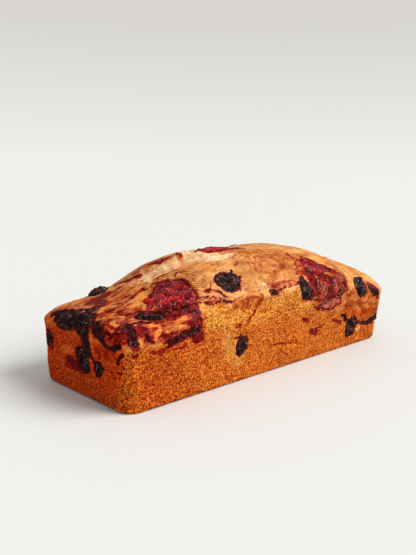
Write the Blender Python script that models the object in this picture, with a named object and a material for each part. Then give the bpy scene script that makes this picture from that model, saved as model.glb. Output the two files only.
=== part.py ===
"""Berry loaf cake: one uncut loaf, about 0.25 m long, with the fruit that was baked into it.

The loaf is one solid: a body with the tin's shape under a domed top that tore open as it
rose.  Each blueberry and each strawberry piece is a solid of its own in a socket of the
loaf.  Metres, +Z up.  X runs along the loaf, the front long side faces -Y, and the origin
is the middle of the flat underside.
"""

import bpy
import numpy as np
from mathutils import Vector
from mathutils.bvhtree import BVHTree

# ---- driving dimensions, metres --------------------------------------------------------
LENGTH = 0.246          # over the ends at the rim, where the tin stopped
WIDTH = 0.090           # over the long sides at the rim
FOOT_LEFT = -0.1215     # where the underside's outline starts and ends along X
FOOT_RIGHT = 0.1205
FOOT_WIDTH = 0.084
FOOT_TUCK = 0.0034      # how much further in the front left corner of the underside lies
BACK_TUCK = 0.0018      # how much further in the back left corner of the rim lies
CORNER_RADIUS = 0.010   # upright corners
FOOT_RADIUS = 0.0025    # rounding between the walls and the underside
RIM_RADIUS = 0.008      # rounding between the walls and the domed top
SOCKET_GAP = 0.00035    # between a fruit and the loaf

# height of the rim and of the top's middle line, at stations along X
RIM_STATIONS = ((-0.123, 0.0415), (-0.095, 0.047), (-0.050, 0.053), (0.005, 0.056),
                (0.040, 0.052), (0.080, 0.047), (0.123, 0.042))
CREST_STATIONS = ((-0.123, 0.0450), (-0.108, 0.0505), (-0.088, 0.0545), (-0.072, 0.0605),
                  (-0.058, 0.0695), (-0.043, 0.0740), (-0.019, 0.0755), (0.011, 0.0755),
                  (0.040, 0.0750), (0.060, 0.0722), (0.074, 0.0672), (0.090, 0.0598),
                  (0.109, 0.0570), (0.123, 0.0500))
DOME_POWER = 2.2        # across the loaf: 2 is a round dome, more has a flatter top
DOME_ROUND = 0.62

# relief: the tear along the top, seen from above as (x, y), and its branch
TEAR_LIP = ((-0.083, 0.0090), (-0.0700, 0.0025), (-0.0590, -0.0050), (-0.0460, -0.0085),
            (-0.0390, -0.0160), (-0.0300, -0.0178), (-0.0190, -0.0160), (-0.007, -0.0140))
TEAR_WIDTH = 0.0115
TEAR_DEPTH = 0.0028
TEAR_RISE = 0.0010
LEDGE_AT = -0.0475      # from here to the right the torn batter stands up as a ledge
LEDGE_RISE = 0.0010
LEDGE_REACH = 0.022
BRANCH = ((-0.080, 0.004), (-0.0785, -0.005), (-0.081, -0.013), (-0.080, -0.021))
BRANCH_DEPTH = 0.0022
BRANCH_WIDTH = 0.0035
# the swirl of batter that set as a raised round on the front of the top
SWIRL_CENTRE = (0.004, -0.028)
SWIRL_RADII = (0.029, 0.017)
SWIRL_HEIGHT = 0.0012
# the fold on the left end, as (y, z): the front part stands proud of the back part
FOLD = ((-0.003, 0.052), (-0.0085, 0.044), (-0.008, 0.036), (-0.0095, 0.030),
        (-0.0145, 0.023), (-0.020, 0.016))
FOLD_PROUD = 0.0022
FOLD_BACK = 0.0010
FOLD_REACH = 0.016
# the juice seam low on the right of the front side, as (x, z)
SEAM = ((0.066, 0.0285), (0.074, 0.020), (0.084, 0.0125), (0.095, 0.0165), (0.110, 0.0175),
        (0.122, 0.0190))
SEAM_DEPTH = 0.0013
SEAM_WIDTH = 0.0025
UNEVEN = 0.0004         # slow bumps all over

# fruit: name, the place on the crust it lies at, its half sizes sideways, up the crust and
# inwards, and how far its slumped outer side stands out of the crust
BLUEBERRIES = (
    ("blueberry_top_front", (-0.0412, -0.0362, 0.0630), (0.0086, 0.0068, 0.0048), 0.0006),
    ("blueberry_shoulder", (0.0228, -0.0451, 0.0519), (0.0050, 0.0070, 0.0042), 0.0010),
    ("blueberry_right_rim", (0.0912, -0.0427, 0.0447), (0.0068, 0.0068, 0.0046), 0.0010),
    ("blueberry_front_wall", (-0.0347, -0.0430, 0.0230), (0.0046, 0.0058, 0.0045), 0.0004),
    ("blueberry_low_right", (0.0812, -0.0430, 0.0160), (0.0056, 0.0064, 0.0045), 0.0009),
    ("blueberry_right_corner", (0.1190, -0.0405, 0.0170), (0.0042, 0.0037, 0.0036), 0.0018),
    ("blueberry_ridge", (-0.0870, 0.0330, 0.0500), (0.0078, 0.0062, 0.0040), 0.0034),
    ("blueberry_end_big", (-0.1209, -0.0038, 0.0432), (0.0064, 0.0064, 0.0044), 0.0012),
    ("blueberry_end_left", (-0.1215, 0.0160, 0.0420), (0.0100, 0.0054, 0.0040), 0.0008),
    ("blueberry_end_top", (-0.1116, 0.0008, 0.0493), (0.0034, 0.0036, 0.0032), 0.0010),
    ("blueberry_end_low", (-0.1214, -0.0029, 0.0228), (0.0058, 0.0062, 0.0040), 0.0007),
    ("blueberry_end_small", (-0.1235, -0.0220, 0.0223), (0.0029, 0.0036, 0.0028), 0.0005),
    ("blueberry_end_back", (-0.1228, 0.0330, 0.0270), (0.0026, 0.0036, 0.0030), 0.0008),
    ("blueberry_front_flat", (-0.0957, -0.0313, 0.0486), (0.0078, 0.0038, 0.0034), 0.0008),
    ("blueberry_back_top", (-0.0500, 0.0425, 0.0510), (0.0062, 0.0056, 0.0046), 0.0010),
    ("blueberry_back_rim", (-0.0180, 0.0430, 0.0540), (0.0062, 0.0054, 0.0044), 0.0014),
    ("blueberry_back_right", (0.0760, 0.0300, 0.0580), (0.0060, 0.0064, 0.0048), 0.0016),
    ("blueberry_back_wall", (-0.0840, 0.0440, 0.0250), (0.0054, 0.0058, 0.0044), 0.0007),
    ("blueberry_back_low", (0.0420, 0.0440, 0.0280), (0.0046, 0.0058, 0.0042), 0.0006),
    ("blueberry_right_end", (0.1230, 0.0060, 0.0340), (0.0064, 0.0058, 0.0044), 0.0009),
    ("blueberry_right_end_low", (0.1220, -0.0160, 0.0190), (0.0050, 0.0046, 0.0040), 0.0007),
)
STRAWBERRIES = (
    ("strawberry_front", (-0.0760, -0.0235, 0.0590), (0.0128, 0.0138, 0.0050), 0.0014),
    ("strawberry_shoulder_top", (0.0388, -0.0350, 0.0640), (0.0080, 0.0072, 0.0044), 0.0012),
    ("strawberry_shoulder_mid", (0.0425, -0.0438, 0.0492), (0.0076, 0.0062, 0.0044), 0.0012),
    ("strawberry_shoulder_right", (0.0645, -0.0422, 0.0492), (0.0090, 0.0076, 0.0044), 0.0012),
    ("strawberry_shoulder_low", (0.0522, -0.0448, 0.0372), (0.0110, 0.0040, 0.0038), 0.0009),
    ("strawberry_tear_left", (-0.0554, 0.0123, 0.0703), (0.0018, 0.0060, 0.0024), 0.0005),
    ("strawberry_tear_right", (-0.0215, -0.0015, 0.0760), (0.0128, 0.0042, 0.0034), 0.0012),
    ("strawberry_back", (0.0220, 0.0270, 0.0700), (0.0134, 0.0100, 0.0048), 0.0014),
    ("strawberry_back_rim", (0.1000, 0.0420, 0.0440), (0.0092, 0.0068, 0.0044), 0.0012),
    ("strawberry_right_end", (0.1230, 0.0270, 0.0380), (0.0084, 0.0060, 0.0044), 0.0010),
)
FRUIT_SINK = 0.0006     # how far under the crust a fruit is widest
CROWN_REACH = 0.55      # radians of a blueberry's skin that its crown takes up
CROWN_DEPTH = 0.30      # share of the height over its widest ring that its crown is sunk by

LOAF_CELLS = (54, 22, 10)   # along X, across Y and up the walls
BLUEBERRY_CELLS = (10, 6)   # round a fruit, and from pole to pole
STRAWBERRY_CELLS = (14, 8)

CRUST_COLOUR = (0.62, 0.26, 0.07)
BLUEBERRY_COLOUR = (0.035, 0.018, 0.028)
STRAWBERRY_COLOUR = (0.36, 0.03, 0.03)


# ---- curves ----------------------------------------------------------------------------
def smooth_through(x, stations):
    """Cubic curve through a few (place, value) stations, level beyond its ends."""
    place, value = np.array(stations).T
    slope = np.gradient(value, place)
    k = np.clip(np.searchsorted(place, x) - 1, 0, len(place) - 2)
    span = place[k + 1] - place[k]
    t = np.clip((x - place[k]) / span, 0.0, 1.0)
    return ((2 * t**3 - 3 * t**2 + 1) * value[k] + (t**3 - 2 * t**2 + t) * span * slope[k]
            + (3 * t**2 - 2 * t**3) * value[k + 1] + (t**3 - t**2) * span * slope[k + 1])


def smooth_step(t):
    """0 up to t = 0, 1 from t = 1, and an S between."""
    t = np.clip(t, 0.0, 1.0)
    return t * t * (3 - 2 * t)


def beside_path(u, v, path):
    """Distance of points from a path, positive on its left, and the share of it passed."""
    nearest = np.full(u.shape, np.inf)
    side = np.ones(u.shape)
    passed = np.zeros(u.shape)
    legs = len(path) - 1
    for leg, ((u0, v0), (u1, v1)) in enumerate(zip(path, path[1:])):
        du, dv = u1 - u0, v1 - v0
        t = np.clip(((u - u0) * du + (v - v0) * dv) / (du * du + dv * dv), 0, 1)
        gap = np.hypot(u - u0 - t * du, v - v0 - t * dv)
        closer = gap < nearest
        nearest = np.where(closer, gap, nearest)
        side = np.where(closer, np.sign(du * (v - v0) - dv * (u - u0)), side)
        passed = np.where(closer, (leg + t) / legs, passed)
    return nearest * side, passed


def fade_ends(passed, share=0.15):
    """1 along the middle of a path, falling to 0 at its two ends."""
    return smooth_step(passed / share) * smooth_step((1 - passed) / share)


# ---- the loaf --------------------------------------------------------------------------
def box_skin(cells):
    """Skin of a box cut into cells: its points as a, b, c in -1..1, its quads and its foot.

    Neighbouring faces share the points of their common edge.  The underside is one flat
    face, given as the ring of points round it.
    """
    shape = tuple(n + 1 for n in cells)
    lattice = np.arange(np.prod(shape)).reshape(shape)
    grids = (lattice[:, :, -1], lattice[:, 0, :], lattice[::-1, -1, :],
             lattice[0, ::-1, :], lattice[-1, :, :])
    quads = np.concatenate([
        np.stack((g[:-1, :-1], g[1:, :-1], g[1:, 1:], g[:-1, 1:]), -1).reshape(-1, 4)
        for g in grids])
    foot = np.concatenate((lattice[:-1, 0, 0], lattice[-1, :-1, 0],
                           lattice[:0:-1, -1, 0], lattice[0, :0:-1, 0]))[::-1]
    used, quads = np.unique(quads, return_inverse=True)
    where = np.stack(np.unravel_index(used, shape), -1) / np.array(cells) * 2 - 1
    return where, quads.reshape(-1, 4), np.searchsorted(used, foot)


def plan_point(a, b, inset, flare):
    """Point of a rounded rectangle for a, b in -1..1; flare is 0 at the foot, 1 at the rim."""
    left = FOOT_LEFT + flare * (-LENGTH / 2 - FOOT_LEFT) + inset
    left = left + FOOT_TUCK * (1 - flare) * (1 - b) / 2
    right = FOOT_RIGHT + flare * (LENGTH / 2 - FOOT_RIGHT) - inset
    half_width = (FOOT_WIDTH + flare * (WIDTH - FOOT_WIDTH)) / 2 - inset
    radius = CORNER_RADIUS - inset
    x = (left + right) / 2 + a * (right - left) / 2
    y = b * half_width
    dx = x - np.clip(x, left + radius, right - radius)
    dy = y - np.clip(y, -half_width + radius, half_width - radius)
    in_corner = (np.abs(dx) > 1e-9) & (np.abs(dy) > 1e-9)
    pull = np.maximum(np.abs(dx), np.abs(dy)) / np.maximum(np.hypot(dx, dy), 1e-9)
    pull = np.where(in_corner, pull, 1.0)
    return x - dx + dx * pull, y - dy + dy * pull


def edge_distance(x, y):
    """How far a point of the top lies inside the rim's rounded rectangle."""
    qx = np.abs(x) - (LENGTH / 2 - CORNER_RADIUS)
    qy = np.abs(y) - (WIDTH / 2 - CORNER_RADIUS)
    outside = np.hypot(np.maximum(qx, 0), np.maximum(qy, 0))
    return CORNER_RADIUS - outside - np.minimum(np.maximum(qx, qy), 0)


def dome_height(x, y):
    """Height of the domed top over a point of the plan, before its relief."""
    rim = smooth_through(x, RIM_STATIONS) - RIM_RADIUS / 2
    rise = smooth_through(x, CREST_STATIONS) - rim
    across = np.clip(np.abs(y) / (WIDTH / 2), 0, 1)
    dome = (1 - across**DOME_POWER) ** DOME_ROUND
    inside = np.clip(edge_distance(x, y) / RIM_RADIUS, 0, 1)
    return rim + rise * dome * np.sqrt(1 - (1 - inside)**2)


def top_relief(x, y):
    """What the tear, its branch and the swirl add to the top's height."""
    behind, passed = beside_path(x, y, TEAR_LIP)
    slope = np.where(behind < TEAR_WIDTH,
                     -TEAR_DEPTH + (TEAR_DEPTH + TEAR_RISE) * behind / TEAR_WIDTH,
                     TEAR_RISE * np.exp(-(behind - TEAR_WIDTH) / TEAR_WIDTH))
    tear = np.where(behind > 0, slope, -TEAR_DEPTH * np.exp(behind / 0.0015))
    tear += (LEDGE_RISE * smooth_step((x - LEDGE_AT) / 0.0015) * smooth_step(behind / 0.003)
             * np.exp(-(behind / LEDGE_REACH)**2)
             * smooth_step((LEDGE_AT + 2 * LEDGE_REACH - x) / LEDGE_REACH))
    away, down = beside_path(x, y, BRANCH)
    branch = -BRANCH_DEPTH * np.exp(-(away / BRANCH_WIDTH)**2)
    off_x = (x - SWIRL_CENTRE[0]) / SWIRL_RADII[0]
    off_y = (y - SWIRL_CENTRE[1]) / SWIRL_RADII[1]
    swirl = SWIRL_HEIGHT * smooth_step((1.05 - np.hypot(off_x, off_y)) / 0.2)
    return tear * fade_ends(passed) + branch * fade_ends(down, 0.3) + swirl


def wall_relief(x, y, z):
    """How far the walls stand out: the fold on the left end and the seam on the front."""
    beside, passed = beside_path(y, z, FOLD)
    proud = FOLD_PROUD * smooth_step(1 + beside / FOLD_REACH)
    back = -FOLD_BACK * smooth_step(1 - beside / FOLD_REACH)
    fold = np.where(beside < 0, proud, back) * smooth_step((z - 0.008) / 0.010)
    fold = np.where(x < -LENGTH / 2 + 0.004, fold, 0)
    above, along = beside_path(x, z, SEAM)
    seam = -SEAM_DEPTH * np.exp(-(above / SEAM_WIDTH)**2)
    seam += 0.6 * SEAM_DEPTH * smooth_step(above / SEAM_WIDTH) * np.exp(-(above / 0.015)**2)
    seam = np.where(y < -WIDTH / 2 + 0.008, seam * fade_ends(along, 0.1), 0)
    return fold + seam


def slow_bumps(x, y, z):
    """Unevenness of hand-filled batter: a few long waves that cross each other."""
    return UNEVEN * (np.sin(71 * x + 93 * z + 0.7) + np.sin(118 * y - 64 * x + 2.1)
                     + np.sin(157 * z + 88 * x - 1.3))


def crowd_to_edges(t, amount=0.25):
    """Moves grid lines in -1..1 closer to -1 and 1, where the dome is steep."""
    return t * (1 + amount * (1 - t * t))


def loaf_points(where):
    """The loaf's skin: walls that flare from the rounded foot to the rim, and the top."""
    a = crowd_to_edges(where[:, 0])
    b = crowd_to_edges(where[:, 1])
    up = (where[:, 2] + 1) / 2
    on_top = up > 1 - 1e-9
    rim_x, rim_y = plan_point(a, b, 0.0, 1.0)
    dome = dome_height(rim_x, rim_y)
    z = up**1.1 * dome
    near_foot = np.clip(1 - z / FOOT_RADIUS, 0, 1)
    inset = np.where(on_top, 0.0, FOOT_RADIUS * (1 - np.sqrt(1 - near_foot**2)))
    x, y = plan_point(a, b, inset, np.where(on_top, 1.0, z / np.maximum(dome, 1e-6)))
    x += (BACK_TUCK * smooth_step((-0.100 - x) / 0.023) * smooth_step(z / 0.040)
          * (1 + b) / 2)

    inside = smooth_step(edge_distance(rim_x, rim_y) / 0.006)
    z = z + np.where(on_top, top_relief(x, y), 0) * inside
    bumps = slow_bumps(x, y, z) * smooth_step(z / 0.010)
    out = wall_relief(x, y, z) * (1 - inside) + bumps
    out_x = np.clip(x, -LENGTH / 2 + CORNER_RADIUS, LENGTH / 2 - CORNER_RADIUS)
    out_y = np.clip(y, -WIDTH / 2 + CORNER_RADIUS, WIDTH / 2 - CORNER_RADIUS)
    away_x, away_y = x - out_x, y - out_y
    length = np.maximum(np.hypot(away_x, away_y), 1e-9)
    level = (1 - inside) * out / length
    return np.stack((x + away_x * level, y + away_y * level, z + inside * bumps), -1)


def add_mesh(name, points, faces):
    """Object with a mesh of the given points and faces, shaded smooth."""
    mesh = bpy.data.meshes.new(name)
    mesh.from_pydata([tuple(p) for p in points], [], [tuple(f) for f in faces])
    mesh.shade_smooth()
    thing = bpy.data.objects.new(name, mesh)
    bpy.context.scene.collection.objects.link(thing)
    return thing


def add_material(name, colour, roughness):
    """Principled material of one colour."""
    material = bpy.data.materials.new(name)
    material.use_nodes = True
    shader = material.node_tree.nodes["Principled BSDF"]
    shader.inputs["Base Color"].default_value = (*colour, 1.0)
    shader.inputs["Roughness"].default_value = roughness
    shader.inputs["Metallic"].default_value = 0.0
    return material


# ---- fruit -----------------------------------------------------------------------------
def seat_on_crust(crust, place):
    """Nearest point of the crust, and the axes sideways, up the crust and outwards."""
    spot, outwards, _, _ = crust.find_nearest(Vector(place))
    sideways = Vector((0, 0, 1)).cross(outwards)
    sideways = sideways.normalized() if sideways.length > 0.2 else Vector((1, 0, 0))
    uphill = outwards.cross(sideways).normalized()
    sideways = uphill.cross(outwards)
    return spot, np.array((sideways, uphill, outwards))


def round_skin(cells):
    """Directions from the middle of a ball to its skin, polar angle first, and its faces."""
    around, down = cells
    polar = np.repeat(np.linspace(0, np.pi, down + 1)[1:-1], around)
    turn = np.tile(np.arange(around) * 2 * np.pi / around, down - 1)
    polar = np.concatenate(([0.0], polar, [np.pi]))
    turn = np.concatenate(([0.0], turn, [0.0]))
    ring = np.arange(around)
    following = (ring + 1) % around
    faces = [(0, 1 + i, 1 + j) for i, j in zip(ring, following)]
    for row in range(down - 2):
        top = 1 + row * around
        faces += [(top + i, top + around + i, top + around + j, top + j)
                  for i, j in zip(ring, following)]
    last = 1 + (down - 2) * around
    faces += [(last + i, last + around, last + j) for i, j in zip(ring, following)]
    return polar, turn, faces


def blueberry_reach(polar, turn, phase):
    """Skin of a baked blueberry as a share of its radius, a little out of round."""
    return 1 + 0.03 * np.cos(3 * turn + phase) * np.sin(polar)


def strawberry_reach(polar, turn, phase):
    """Skin of a soft strawberry piece: an uneven outline with lobes and bays."""
    lobes = (0.10 * np.cos(2 * turn + phase) + 0.08 * np.cos(3 * turn - 2 * phase)
             + 0.07 * np.cos(5 * turn + 3 * phase))
    return 1 + lobes * np.sin(polar) ** 2


def crust_fall(crust, spot, axes, aside):
    """How far the crust lies below its tangent plane at a spot, at points aside from it."""
    outwards = Vector(axes[2])
    falls = []
    for point in np.array(spot) + aside[:, :2] @ axes[:2]:
        hit = crust.ray_cast(Vector(point) + 0.02 * outwards, -outwards)[0]
        falls.append(0.0 if hit is None else (hit - spot).dot(outwards))
    return np.array(falls)


def add_fruit(crust, entry, cells, reach, crown_depth, phase, material):
    """One fruit slumped over the crust, and the cutter that makes its socket in the loaf."""
    name, place, (sideways, uphill, inwards), proud = entry
    spot, axes = seat_on_crust(crust, place)
    middle = np.array(spot) - FRUIT_SINK * axes[2]
    polar, turn, faces = round_skin(cells)
    share = reach(polar, turn, phase)
    ball = np.stack((np.sin(polar) * np.cos(turn), np.sin(polar) * np.sin(turn),
                     np.cos(polar)), -1)
    thickness = np.where(ball[:, 2] > 0, FRUIT_SINK + proud, inwards)
    half_sizes = np.stack((np.full(len(ball), sideways), np.full(len(ball), uphill), thickness), -1)
    skin = ball * share[:, None] * half_sizes
    skin[:, 2] += crust_fall(crust, spot, axes, skin)
    sunk = crown_depth * (FRUIT_SINK + proud) * smooth_step(1 - polar / CROWN_REACH)
    fruit = add_mesh(name, middle + (skin - np.outer(sunk, (0, 0, 1))) @ axes, faces)
    fruit.data.materials.append(material)
    socket = add_mesh("socket_" + name, middle + (skin + ball * SOCKET_GAP * 1.5) @ axes, faces)
    socket.display_type = "WIRE"
    socket.hide_render = True
    return socket


# ---- the cake --------------------------------------------------------------------------
for old in list(bpy.data.objects):
    bpy.data.objects.remove(old)

where, quads, foot = box_skin(LOAF_CELLS)
skin_points = loaf_points(where)
loaf_faces = [*quads.tolist(), foot.tolist()]
loaf = add_mesh("loaf", skin_points, loaf_faces)
loaf.data.materials.append(add_material("crust", CRUST_COLOUR, 0.75))
crust_surface = BVHTree.FromPolygons([Vector(p) for p in skin_points], loaf_faces)

sockets = bpy.data.collections.new("sockets")
bpy.context.scene.collection.children.link(sockets)
blueberry_skin = add_material("blueberry", BLUEBERRY_COLOUR, 0.35)
strawberry_flesh = add_material("strawberry", STRAWBERRY_COLOUR, 0.30)
for entries, cells, reach, crown_depth, material in (
        (BLUEBERRIES, BLUEBERRY_CELLS, blueberry_reach, CROWN_DEPTH, blueberry_skin),
        (STRAWBERRIES, STRAWBERRY_CELLS, strawberry_reach, 0.0, strawberry_flesh)):
    for number, entry in enumerate(entries):
        cutter = add_fruit(crust_surface, entry, cells, reach, crown_depth, 1.7 * number, material)
        bpy.context.scene.collection.objects.unlink(cutter)
        sockets.objects.link(cutter)

cut = loaf.modifiers.new("fruit_sockets", "BOOLEAN")
cut.operation = "DIFFERENCE"
cut.operand_type = "COLLECTION"
cut.collection = sockets
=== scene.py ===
"""Berry loaf cake, as it is shown: the crust, the blueberries and the strawberry pieces.

Metres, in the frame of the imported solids.  Places on the crust are written in
millimetres, as (x, y, z), and are turned into metres where they are used.  Strokes of
juice on the sides that the camera sees are written as pixels of its frame.
"""

import bpy
import numpy as np
from mathutils import Matrix, Vector
from mathutils.bvhtree import BVHTree


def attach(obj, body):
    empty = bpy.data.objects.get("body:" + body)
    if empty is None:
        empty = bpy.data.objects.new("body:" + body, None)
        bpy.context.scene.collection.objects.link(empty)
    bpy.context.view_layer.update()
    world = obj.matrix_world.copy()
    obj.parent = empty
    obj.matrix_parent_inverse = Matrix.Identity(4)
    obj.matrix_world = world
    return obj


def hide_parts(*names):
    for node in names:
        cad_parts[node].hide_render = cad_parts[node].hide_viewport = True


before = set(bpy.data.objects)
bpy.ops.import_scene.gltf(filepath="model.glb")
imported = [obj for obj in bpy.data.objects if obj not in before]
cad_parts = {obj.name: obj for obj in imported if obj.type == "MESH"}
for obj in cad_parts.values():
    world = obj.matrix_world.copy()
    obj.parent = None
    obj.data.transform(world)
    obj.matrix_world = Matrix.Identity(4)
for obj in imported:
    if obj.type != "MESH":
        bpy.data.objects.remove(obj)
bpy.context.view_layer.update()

# ---- Camera, floor and light -----------------------------------------------------------
# The loaf stands on a plain pale floor.  It is seen from a little above, past its left
# end, and lit by soft daylight from the front right, with a bright room all round.  The
# wall behind fades from the floor's tone upwards.
CAMERA_PLACE = (-0.2911, -0.2850, 0.1300)
CAMERA_TURN = np.radians(-43.20)
CAMERA_TILT = np.radians(90 - 10.49)
CAMERA_ROLL = np.radians(0.96)
CAMERA_LENS = 39.14
SENSOR = 36.0
FRAME_WIDTH = 416
FRAME_HEIGHT = 555
DAYLIGHT_FROM = (0.44, -0.62, 0.65)
DAYLIGHT_STRENGTH = 3.7
DAYLIGHT_SPREAD = np.radians(40)
DAYLIGHT_COLOUR = (1.0, 0.98, 0.95)
ROOM_LIGHT = 0.60
ROOM_COLOUR = (1.0, 0.985, 0.965)
BACKDROP_LOW = (0.87, 0.87, 0.84)
BACKDROP_HIGH = (0.68, 0.66, 0.62)
BACKDROP_TOP = 0.22     # how steeply upwards one looks at the upper tone
FLOOR_REACH = 9         # metres on each side
FLOOR_COLOUR = (0.66, 0.67, 0.66)
FLOOR_ROUGHNESS = 0.7

camera = bpy.data.objects.new("camera", bpy.data.cameras.new("camera"))
camera.data.lens = CAMERA_LENS
camera.data.sensor_width = SENSOR
camera.data.clip_start = 0.01
camera.matrix_world = (Matrix.Translation(CAMERA_PLACE) @ Matrix.Rotation(CAMERA_TURN, 4, "Z")
                       @ Matrix.Rotation(CAMERA_TILT, 4, "X") @ Matrix.Rotation(CAMERA_ROLL, 4, "Z"))
bpy.context.scene.collection.objects.link(camera)
bpy.context.scene.camera = camera

daylight = bpy.data.objects.new("daylight", bpy.data.lights.new("daylight", "SUN"))
daylight.data.energy = DAYLIGHT_STRENGTH
daylight.data.angle = DAYLIGHT_SPREAD
daylight.data.color = DAYLIGHT_COLOUR
daylight.rotation_euler = Vector(DAYLIGHT_FROM).to_track_quat("Z", "Y").to_euler()
bpy.context.scene.collection.objects.link(daylight)

room = bpy.data.worlds.new("room")
room.use_nodes = True
room_nodes = room.node_tree.nodes
backdrop = room_nodes["Background"]
looked_along = room_nodes.new("ShaderNodeTexCoord")
direction = room_nodes.new("ShaderNodeSeparateXYZ")
how_high = room_nodes.new("ShaderNodeMapRange")
how_high.inputs["From Max"].default_value = BACKDROP_TOP
wall_tone = room_nodes.new("ShaderNodeMix")
wall_tone.data_type = "RGBA"
wall_tone.inputs["A"].default_value = (*BACKDROP_LOW, 1.0)
wall_tone.inputs["B"].default_value = (*BACKDROP_HIGH, 1.0)
room.node_tree.links.new(looked_along.outputs["Generated"], direction.inputs["Vector"])
room.node_tree.links.new(direction.outputs["Z"], how_high.inputs["Value"])
room.node_tree.links.new(how_high.outputs["Result"], wall_tone.inputs["Factor"])
room.node_tree.links.new(wall_tone.outputs["Result"], backdrop.inputs["Color"])
ambient = room_nodes.new("ShaderNodeBackground")
ambient.inputs["Color"].default_value = (*ROOM_COLOUR, 1.0)
ambient.inputs["Strength"].default_value = ROOM_LIGHT
looked_at = room_nodes.new("ShaderNodeLightPath")
either = room_nodes.new("ShaderNodeMixShader")
room.node_tree.links.new(looked_at.outputs["Is Camera Ray"], either.inputs["Fac"])
room.node_tree.links.new(ambient.outputs["Background"], either.inputs[1])
room.node_tree.links.new(backdrop.outputs["Background"], either.inputs[2])
room.node_tree.links.new(either.outputs["Shader"], room_nodes["World Output"].inputs["Surface"])
bpy.context.scene.world = room
bpy.context.scene.view_settings.view_transform = "Standard"
bpy.context.scene.view_settings.look = "None"

floor_mesh = bpy.data.meshes.new("floor")
floor_corners = [(FLOOR_REACH * side, FLOOR_REACH * end, 0)
                 for side, end in ((-1, -1), (1, -1), (1, 1), (-1, 1))]
floor_mesh.from_pydata(floor_corners, [], [(0, 1, 2, 3)])
floor = bpy.data.objects.new("floor", floor_mesh)
floor_paint = bpy.data.materials.new("floor_paint")
floor_paint.use_nodes = True
floor_shader = floor_paint.node_tree.nodes["Principled BSDF"]
floor_shader.inputs["Base Color"].default_value = (*FLOOR_COLOUR, 1.0)
floor_shader.inputs["Roughness"].default_value = FLOOR_ROUGHNESS
floor_mesh.materials.append(floor_paint)
bpy.context.scene.collection.objects.link(floor)

# ---- Crust -----------------------------------------------------------------------------
# The loaf itself: cake batter baked in a tin, with porous walls where it touched the tin
# and a smooth skin where it rose and tore above the rim.  It is one surface, a box's skin
# moved to the baked shape, then pitted, torn and stained by the fruit's juice.
MM = 0.001              # a millimetre in metres
LENGTH = 0.246          # over the ends at the rim, where the tin stopped
WIDTH = 0.090           # over the long sides at the rim
FOOT_LEFT = -0.1215     # where the underside's outline starts and ends along the loaf
FOOT_RIGHT = 0.1205
FOOT_WIDTH = 0.084
FOOT_TUCK = 0.0034      # how much further in the front left corner of the underside lies
BACK_TUCK = 0.0018      # how much further in the back left corner of the rim lies
BACK_TUCK_FROM = -0.100
BACK_TUCK_OVER = 0.023
BACK_TUCK_HEIGHT = 0.040
CORNER_RADIUS = 0.010   # upright corners
FOOT_RADIUS = 0.0025    # rounding between the walls and the underside
RIM_RADIUS = 0.008      # rounding between the walls and the domed top
RIM_BLEND = 0.006       # inwards from the rim, where the walls' relief gives way to the top's
# height of the rim and of the top's middle line, at stations along the loaf
RIM_STATIONS = ((-0.123, 0.0415), (-0.095, 0.047), (-0.050, 0.053), (0.005, 0.056),
                (0.040, 0.052), (0.080, 0.047), (0.123, 0.042))
CREST_STATIONS = ((-0.123, 0.0450), (-0.108, 0.0505), (-0.088, 0.0545), (-0.072, 0.0605),
                  (-0.058, 0.0695), (-0.043, 0.0740), (-0.019, 0.0755), (0.011, 0.0755),
                  (0.040, 0.0750), (0.060, 0.0722), (0.074, 0.0672), (0.090, 0.0598),
                  (0.109, 0.0570), (0.123, 0.0500))
DOME_POWER = 2.2        # across the loaf: 2 is a round dome, more has a flatter top
DOME_ROUND = 0.62
# the tear along the top, seen from above as (x, y), and its branch
TEAR_LIP = ((-0.083, 0.0090), (-0.0700, 0.0025), (-0.0590, -0.0050), (-0.0460, -0.0085),
            (-0.0390, -0.0160), (-0.0300, -0.0178), (-0.0190, -0.0160), (-0.007, -0.0140))
TEAR_WIDTH = 0.0115
TEAR_DEPTH = 0.0028
TEAR_RISE = 0.0010
LIP_EDGE = 0.0015       # how sharply the skin breaks off at the lip and at the ledge
LEDGE_AT = -0.0475      # from here to the right the torn batter stands up as a ledge
LEDGE_RISE = 0.0010
LEDGE_REACH = 0.022
BRANCH = ((-0.080, 0.004), (-0.0785, -0.005), (-0.081, -0.013), (-0.080, -0.021))
BRANCH_DEPTH = 0.0022
BRANCH_WIDTH = 0.0035
# the swirl of batter that set as a raised round on the front of the top
SWIRL_CENTRE = (0.004, -0.028)
SWIRL_RADII = (0.029, 0.017)
SWIRL_HEIGHT = 0.0012
SWIRL_END = 1.05        # share of its radii at which it has fallen off, and over what share
SWIRL_FALL = 0.2
# the fold on the left end, as (y, z): the front part stands proud of the back part
FOLD = ((-0.003, 0.052), (-0.0085, 0.044), (-0.008, 0.036), (-0.0095, 0.030),
        (-0.0145, 0.023), (-0.020, 0.016))
FOLD_PROUD = 0.0022
FOLD_BACK = 0.0010
FOLD_REACH = 0.016
FOLD_FROM = 0.008       # height from which the fold grows out of the wall, and over what height
FOLD_OVER = 0.010
FOLD_WALL = 0.004       # how far in from the rim's end the left end wall leans
# the juice seam low on the right of the front side, as (x, z)
SEAM = ((0.066, 0.0285), (0.074, 0.020), (0.084, 0.0125), (0.095, 0.0165), (0.110, 0.0175),
        (0.122, 0.0190))
SEAM_DEPTH = 0.0013
SEAM_WIDTH = 0.0025
SEAM_PUFF = 0.6         # share of its depth by which the batter above it stands out
SEAM_PUFF_REACH = 0.015
SEAM_WALL = 0.008       # how far in from the rim's side the front wall leans
UNEVEN = 0.0004         # slow bumps all over
UNEVEN_FROM = 0.010     # height below which they die out towards the flat underside
CRUST_CELLS = (320, 120, 64)    # along the loaf, across it and up the walls
CROWD_ENDS = 0.08       # how far the grid lines are moved towards the ends and the sides
CROWD_SIDES = 0.25
CROWD_FOOT = 1.1        # power that moves those up the walls towards the foot
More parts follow.
